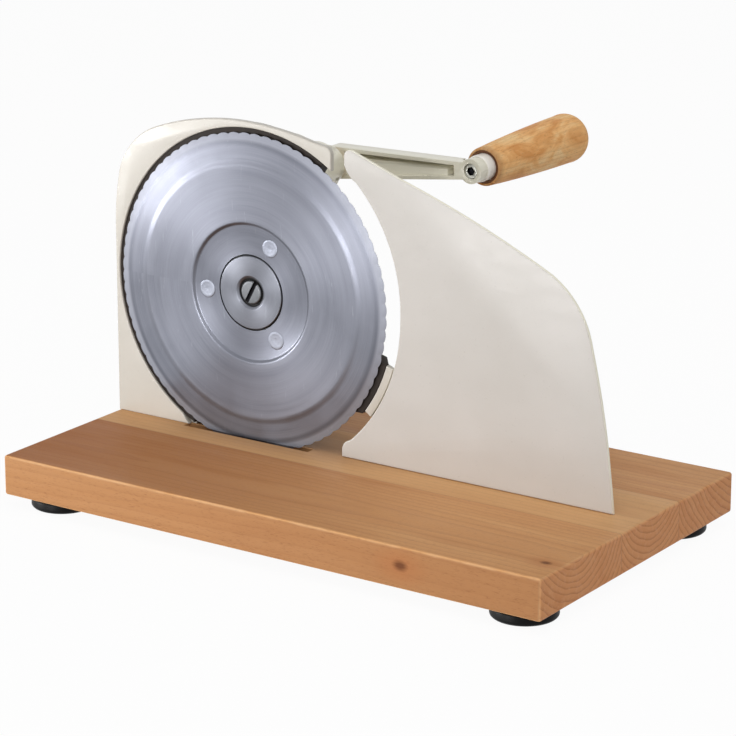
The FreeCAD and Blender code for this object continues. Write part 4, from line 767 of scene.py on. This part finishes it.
def make_blade_fittings():
    head = rounded([(0, -0.72), (4.3, -0.70), (4.9, -0.62), (5.2, -0.40), (5.0, -0.2), (0, -0.2)],
                   [0, 0.3, 0.2, 0.1, 0, 0], 4)
    stamped = [(0, -0.60), (1.4, -0.62), (2.0, -0.71), (2.9, -0.62), (3.4, -0.70)] + head[2:]
    for number, turn in enumerate(RIVET_ANGLES, start=1):
        x, z = polar(30.0, turn)
        name = "rivet_head_" + str(number)
        mesh = lathe(name, stamped, local(x, 0, z), 64)
        extra = ("blade_rivets",) if number == 1 else ()
        put(name, mesh, "blade_unit", "rivet_steel", *extra)
    tail = [(0, 7.4), (3.4, 7.4), (4.0, 6.9), (4.1, 6.6), (2.5, 6.6), (2.5, 0.8), (0, 0.8)]
    for number, turn in enumerate(RIVET_ANGLES, start=1):
        x, z = polar(30.0, turn)
        name = "rivet_tail_" + str(number)
        put(name, lathe(name, tail, local(x, 0, z), 40), "blade_unit", "rivet_steel")
    cap = rounded([(3.0, 2.1), (20.9, 2.1), (20.9, -0.55), (20.5, -0.9), (9.6, -0.9), (8.2, -0.1),
                   (8.0, 0.9), (3.0, 1.9)], [0, 0.2, 0.25, 0.25, 0.25, 0.2, 0, 0], 3)
    put("cap_disc", lathe("cap_disc", cap, local(0, 0, 0), 160), "base", "cap_steel", "blade_cap")
    # Painted shade: a black ring behind the gap round the cap, so that the gap shows dark
    gap_shade = rounded([(20.7, 0.1), (21.5, 0.1), (21.5, 1.6), (20.7, 1.6)], 0.15, 3)
    put("cap_gap_shade", lathe("cap_gap_shade", gap_shade, local(0, 0, 0), 160), "base", "guard_plastic",
        look=MATERIALS["foot_rubber"])
    # Painted shade: a black ring behind the gap round the screw head, so that the gap shows dark
    seat = rounded([(6.6, 0.55), (8.1, 0.4), (8.1, 1.6), (6.6, 1.6)], 0.1, 3)
    put("screw_gap_shade", lathe("screw_gap_shade", seat, local(0, 0, 0), 96), "base", "guard_plastic",
        look=MATERIALS["foot_rubber"])
    make_slotted_screw()
    for node, slot in (("blade_gear", "gear_plastic"), ("blade_bush", "brass")):
        dressed(node, "blade_unit", slot, 0.12)
    dressed("blade_axle", "base", "machined_steel", 0.3)


def make_slotted_screw():
    """Countersunk screw with a milled slot, cut by two planes and a floor."""
    head = rounded([(0, -0.72), (6.1, -0.66), (6.7, -0.2), (6.8, 0.55), (3.0, 1.9)],
                   [0, 0.5, 0.2, 0.1, 0], 4)
    profile = head + [(3.0, 12.0), (0, 12.0)]
    mesh = lathe("screw_blank", profile, (0, 0, 0), 96)
    work = bmesh.new()
    work.from_mesh(mesh)
    turn = Matrix.Rotation(math.radians(-62.0), 4, "Y")
    across = (turn @ Vector((0, 0, 1))) * MM
    half, floor = 1.15, 0.9
    for side in (-1, 1):
        for offset in (half, half + 0.12):
            cut(work, across * offset * side, across.normalized(), dist=1e-8)
    for vertex in work.verts:
        away = abs(vertex.co.dot(across.normalized())) / MM
        if away < half + 1e-3 and vertex.co.y < 0.3 * MM:
            vertex.co.y = floor * MM
        elif away < half + 0.1201 and vertex.co.y < -0.3 * MM:
            vertex.co.y += 0.05 * MM
    work.to_mesh(mesh)
    work.free()
    mesh.transform(Matrix.Translation(Vector(local(0, 0, 0)) * MM))
    put("slotted_screw", shaded(mesh, 35.0), "base", "screw_steel", "blade_screw")


def make_crank():
    dressed("crank_gear", "crank", "gear_plastic", 0.12)
    for node in ("crank_shaft", "gear_key"):
        dressed(node, "crank", "machined_steel", 0.2)
    for node in ("front_crank_bush", "rear_crank_bush"):
        dressed(node, "base", "brass", 0.15)
    dressed("crank_arm", "crank", "arm_paint", 0.6, sloped_floor)
    dressed("hub_washer", "crank", "zinc_steel", 0.25)
    dressed("hub_bolt", "crank", "zinc_steel", 0.4)
    dressed("eye_screw", "crank", "dark_steel", 0.2)
    seat, flange = 76.2, 86.3
    eye = (EYE_X, FACE_Y, EYE_Z)
    collar = rounded([(4.0, seat), (7.2, seat), (7.6, seat + 0.6), (7.6, flange), (4.0, flange)],
                     [0, 0.4, 0.4, 0.2, 0], 4)
    put("ferrule", lathe("ferrule", collar, eye, 96), "crank", "ferrule_paint", "handle_ferrule")
    dressed("handle_pin", "crank", "machined_steel", 0.2)
    ring = rounded([(7.8, 83.1), (9.4, 83.1), (9.4, 86.0), (7.8, 86.0)], 0.3, 4)
    put("mouth_ring", lathe("mouth_ring", ring, eye, 96), "grip", "guard_plastic", "grip_ring",
        look=MOUTH_LOOK)
    make_grip(eye)


def make_grip(eye):
    """Turned handle: slim at the ferrule, fullest near its round end."""
    start = GRIP_FRONT
    outer = [(9.7, 0)] + arc((9.7, 0), (10.6, 0.4), (10.9, 1.4), 6)
    outer += arc((10.9, 1.4), (13.0, 41.2), (14.1, 85.0), 36)
    outer += arc((14.1, 85.0), (11.9, 93.4), (6.7, 96.8), 22)
    outer += arc((6.7, 96.8), (4.0, 97.6), (1.0, 98.0), 6)
    bore = [(0, 98.0), (0, 72.5), (4.05, 72.5), (4.05, 5.0), (9.4, 5.0), (9.4, 0.2), (9.6, 0)]
    profile = [(radius, start + along) for radius, along in outer + bore]
    put("turned_grip", lathe("turned_grip", profile, eye, 128), "grip", "grip_wood", "wooden_grip")


def stop_plate_outline():
    bottom = -83.8
    points = [(231.8, bottom), (227.6, -49.1)]
    for via, last in (((223.3, -24.0), (217.0, 3.8)), ((207.6, 25.2), (190.5, 39.9)),
                      ((146.0, 59.9), polar(125.0, 38.1))):
        points += arc(points[-1], via, last, 24)
    points.append(polar(111.4, 52.65))
    points += arc(points[-1], polar(109.1, 54.1), polar(105.5, 53.9), 8)
    points.append(polar(101.7, 52.3))
    for (via_r, via_a), (last_r, last_a), steps in (
            ((99.5, 49.2), (99.9, 45.5), 8), ((99.4, 22.2), (98.5, 0.0), 40),
            ((98.7, -26.9), (98.8, -48.6), 50), ((98.1, -51.1), (99.9, -52.8), 8)):
        points += arc(points[-1], polar(via_r, via_a), polar(last_r, last_a), steps)
    points.append((points[-1][0], bottom))
    return points


def make_stop():
    mesh = plate_mesh("slice_plate", stop_plate_outline(), local(0, 0, 0), 0.0, 2.2, 0.6, 5)
    put("slice_plate", mesh, "stop", "plate_paint", "stop_plate")
    places = [(x, z) for x in (109, 163) for z in (-36.7, -7.7)]
    for number, (x, z) in enumerate(places, start=1):
        name = "plate_stud_" + str(number)
        stud = rounded([(0, 2.0), (2.0, 2.0), (2.0, 9.2), (0, 9.2)], [0, 0, 0.5, 0], 3)
        put(name, lathe(name, stud, local(x, 0, z), 32), "stop", "zinc_steel")
    dressed("stop_carriage", "stop", "cast_paint", 0.6)
    dressed("spindle_nut", "stop", "brass", 0.3)
    dressed("carriage_nuts", "stop", "zinc_steel", 0.25)
    dressed("stop_bracket", "base", "cast_paint", 0.7)
    dressed("bracket_screws", "base", "zinc_steel", 0.3)
    dressed("spindle_bush", "base", "brass", 0.15)
    for node in ("left_guide_rod", "right_guide_rod"):
        dressed(node, "base", "machined_steel", 0.3)
    dressed("adjusting_spindle", "knob", "machined_steel", 0.3)
    dressed("adjusting_knob", "knob", "knob_plastic", 0.4)
    dressed("knob_screw", "knob", "zinc_steel", 0.3)


# Stage, light and camera


def area(name, place, target, size, power):
    light = bpy.data.lights.new(name, "AREA")
    light.shape = "RECTANGLE"
    light.size, light.size_y = size
    light.energy = power
    obj = bpy.data.objects.new(name, light)
    bpy.context.scene.collection.objects.link(obj)
    obj.location = place
    aim = (Vector(target) - Vector(place)).normalized()
    obj.rotation_euler = aim.to_track_quat("-Z", "Y").to_euler()


def seen_directly(tree):
    """1 for camera, glossy and transmission rays, 0 for the rest."""
    path = tree.nodes.new("ShaderNodeLightPath")
    total = path.outputs["Is Camera Ray"]
    for name in ("Is Glossy Ray", "Is Transmission Ray"):
        add = tree.nodes.new("ShaderNodeMath")
        add.operation = "ADD"
        add.use_clamp = True
        tree.links.new(total, add.inputs[0])
        tree.links.new(path.outputs[name], add.inputs[1])
        total = add.outputs[0]
    return total


def make_stage():
    world = bpy.data.worlds.new("studio")
    bpy.context.scene.world = world
    world.use_nodes = True
    tree = world.node_tree
    tree.nodes.clear()
    seen = seen_directly(tree)
    plain = tree.nodes.new("ShaderNodeBackground")
    plain.inputs["Color"].default_value = (1, 1, 1, 1)
    plain.inputs["Strength"].default_value = 1.0
    soft = tree.nodes.new("ShaderNodeBackground")
    soft.inputs["Color"].default_value = (1.0, 1.0, 1.0, 1)
    soft.inputs["Strength"].default_value = WORLD_LIGHT
    mix = tree.nodes.new("ShaderNodeMixShader")
    out = tree.nodes.new("ShaderNodeOutputWorld")
    tree.links.new(seen, mix.inputs[0])
    tree.links.new(soft.outputs[0], mix.inputs[1])
    tree.links.new(plain.outputs[0], mix.inputs[2])
    tree.links.new(mix.outputs[0], out.inputs["Surface"])
    material = bpy.data.materials.new("floor_look")
    material.use_nodes = True
    tree = material.node_tree
    tree.nodes.clear()
    seen = seen_directly(tree)
    share = tree.nodes.new("ShaderNodeMath")
    share.operation = "MULTIPLY"
    tree.links.new(seen, share.inputs[0])
    share.inputs[1].default_value = 0.95
    matt = tree.nodes.new("ShaderNodeBsdfDiffuse")
    matt.inputs["Color"].default_value = (0.9, 0.9, 0.9, 1)
    glow = tree.nodes.new("ShaderNodeEmission")
    glow.inputs["Strength"].default_value = 1.0
    mix = tree.nodes.new("ShaderNodeMixShader")
    out = tree.nodes.new("ShaderNodeOutputMaterial")
    tree.links.new(share.outputs[0], mix.inputs[0])
    tree.links.new(matt.outputs[0], mix.inputs[1])
    tree.links.new(glow.outputs[0], mix.inputs[2])
    tree.links.new(mix.outputs[0], out.inputs["Surface"])
    mesh = bpy.data.meshes.new("floor")
    mesh.from_pydata([(-9, -9, 0), (9, -9, 0), (9, 9, 0), (-9, 9, 0)], [], [(0, 1, 2, 3)])
    mesh.materials.append(material)
    floor = bpy.data.objects.new("floor", mesh)
    bpy.context.scene.collection.objects.link(floor)


def make_lights():
    """Two low strips that draw the blade's bright fans, and two soft boxes above."""
    middle = (0.0, 0.0, 0.1)
    blade = (AXIS_X * MM, FACE_Y * MM, AXIS_Z * MM)
    area("left_strip", (-1.06, -0.80, 0.06), blade, (0.5, 0.10), 6.8)
    area("front_strip", (-0.25, -1.10, 0.06), blade, (0.4, 0.10), 4.2)
    area("top_box", (0.5, -0.6, 2.4), middle, (2.0, 2.0), 24.0)
    area("high_box", (1.5, -2.0, 1.7), middle, (1.4, 1.4), 15.0)


def make_camera():
    """Camera fitted to the board and the blade in the photograph."""
    lens = bpy.data.cameras.new("camera")
    lens.lens = 155.4
    lens.sensor_width = 36
    lens.shift_x = -0.00443
    lens.shift_y = -0.1107
    lens.clip_end = 50
    camera = bpy.data.objects.new("camera", lens)
    bpy.context.scene.collection.objects.link(camera)
    back = Vector((0.5424, -0.7976, 0.2641)).normalized()
    right = Vector((0.8269, 0.5623, 0)).normalized()
    up = back.cross(right)
    camera.matrix_world = Matrix.Translation(Vector((0.928, -1.40005, 0.5813))) @ Matrix(
        (right, up, back)).transposed().to_4x4()
    bpy.context.scene.camera = camera


make_stage()
make_lights()
make_camera()
make_base()
make_casting()
make_blade()
make_blade_fittings()
make_crank()
make_stop()

bpy.context.scene.view_settings.view_transform = "Standard"
bpy.context.view_layer.update()
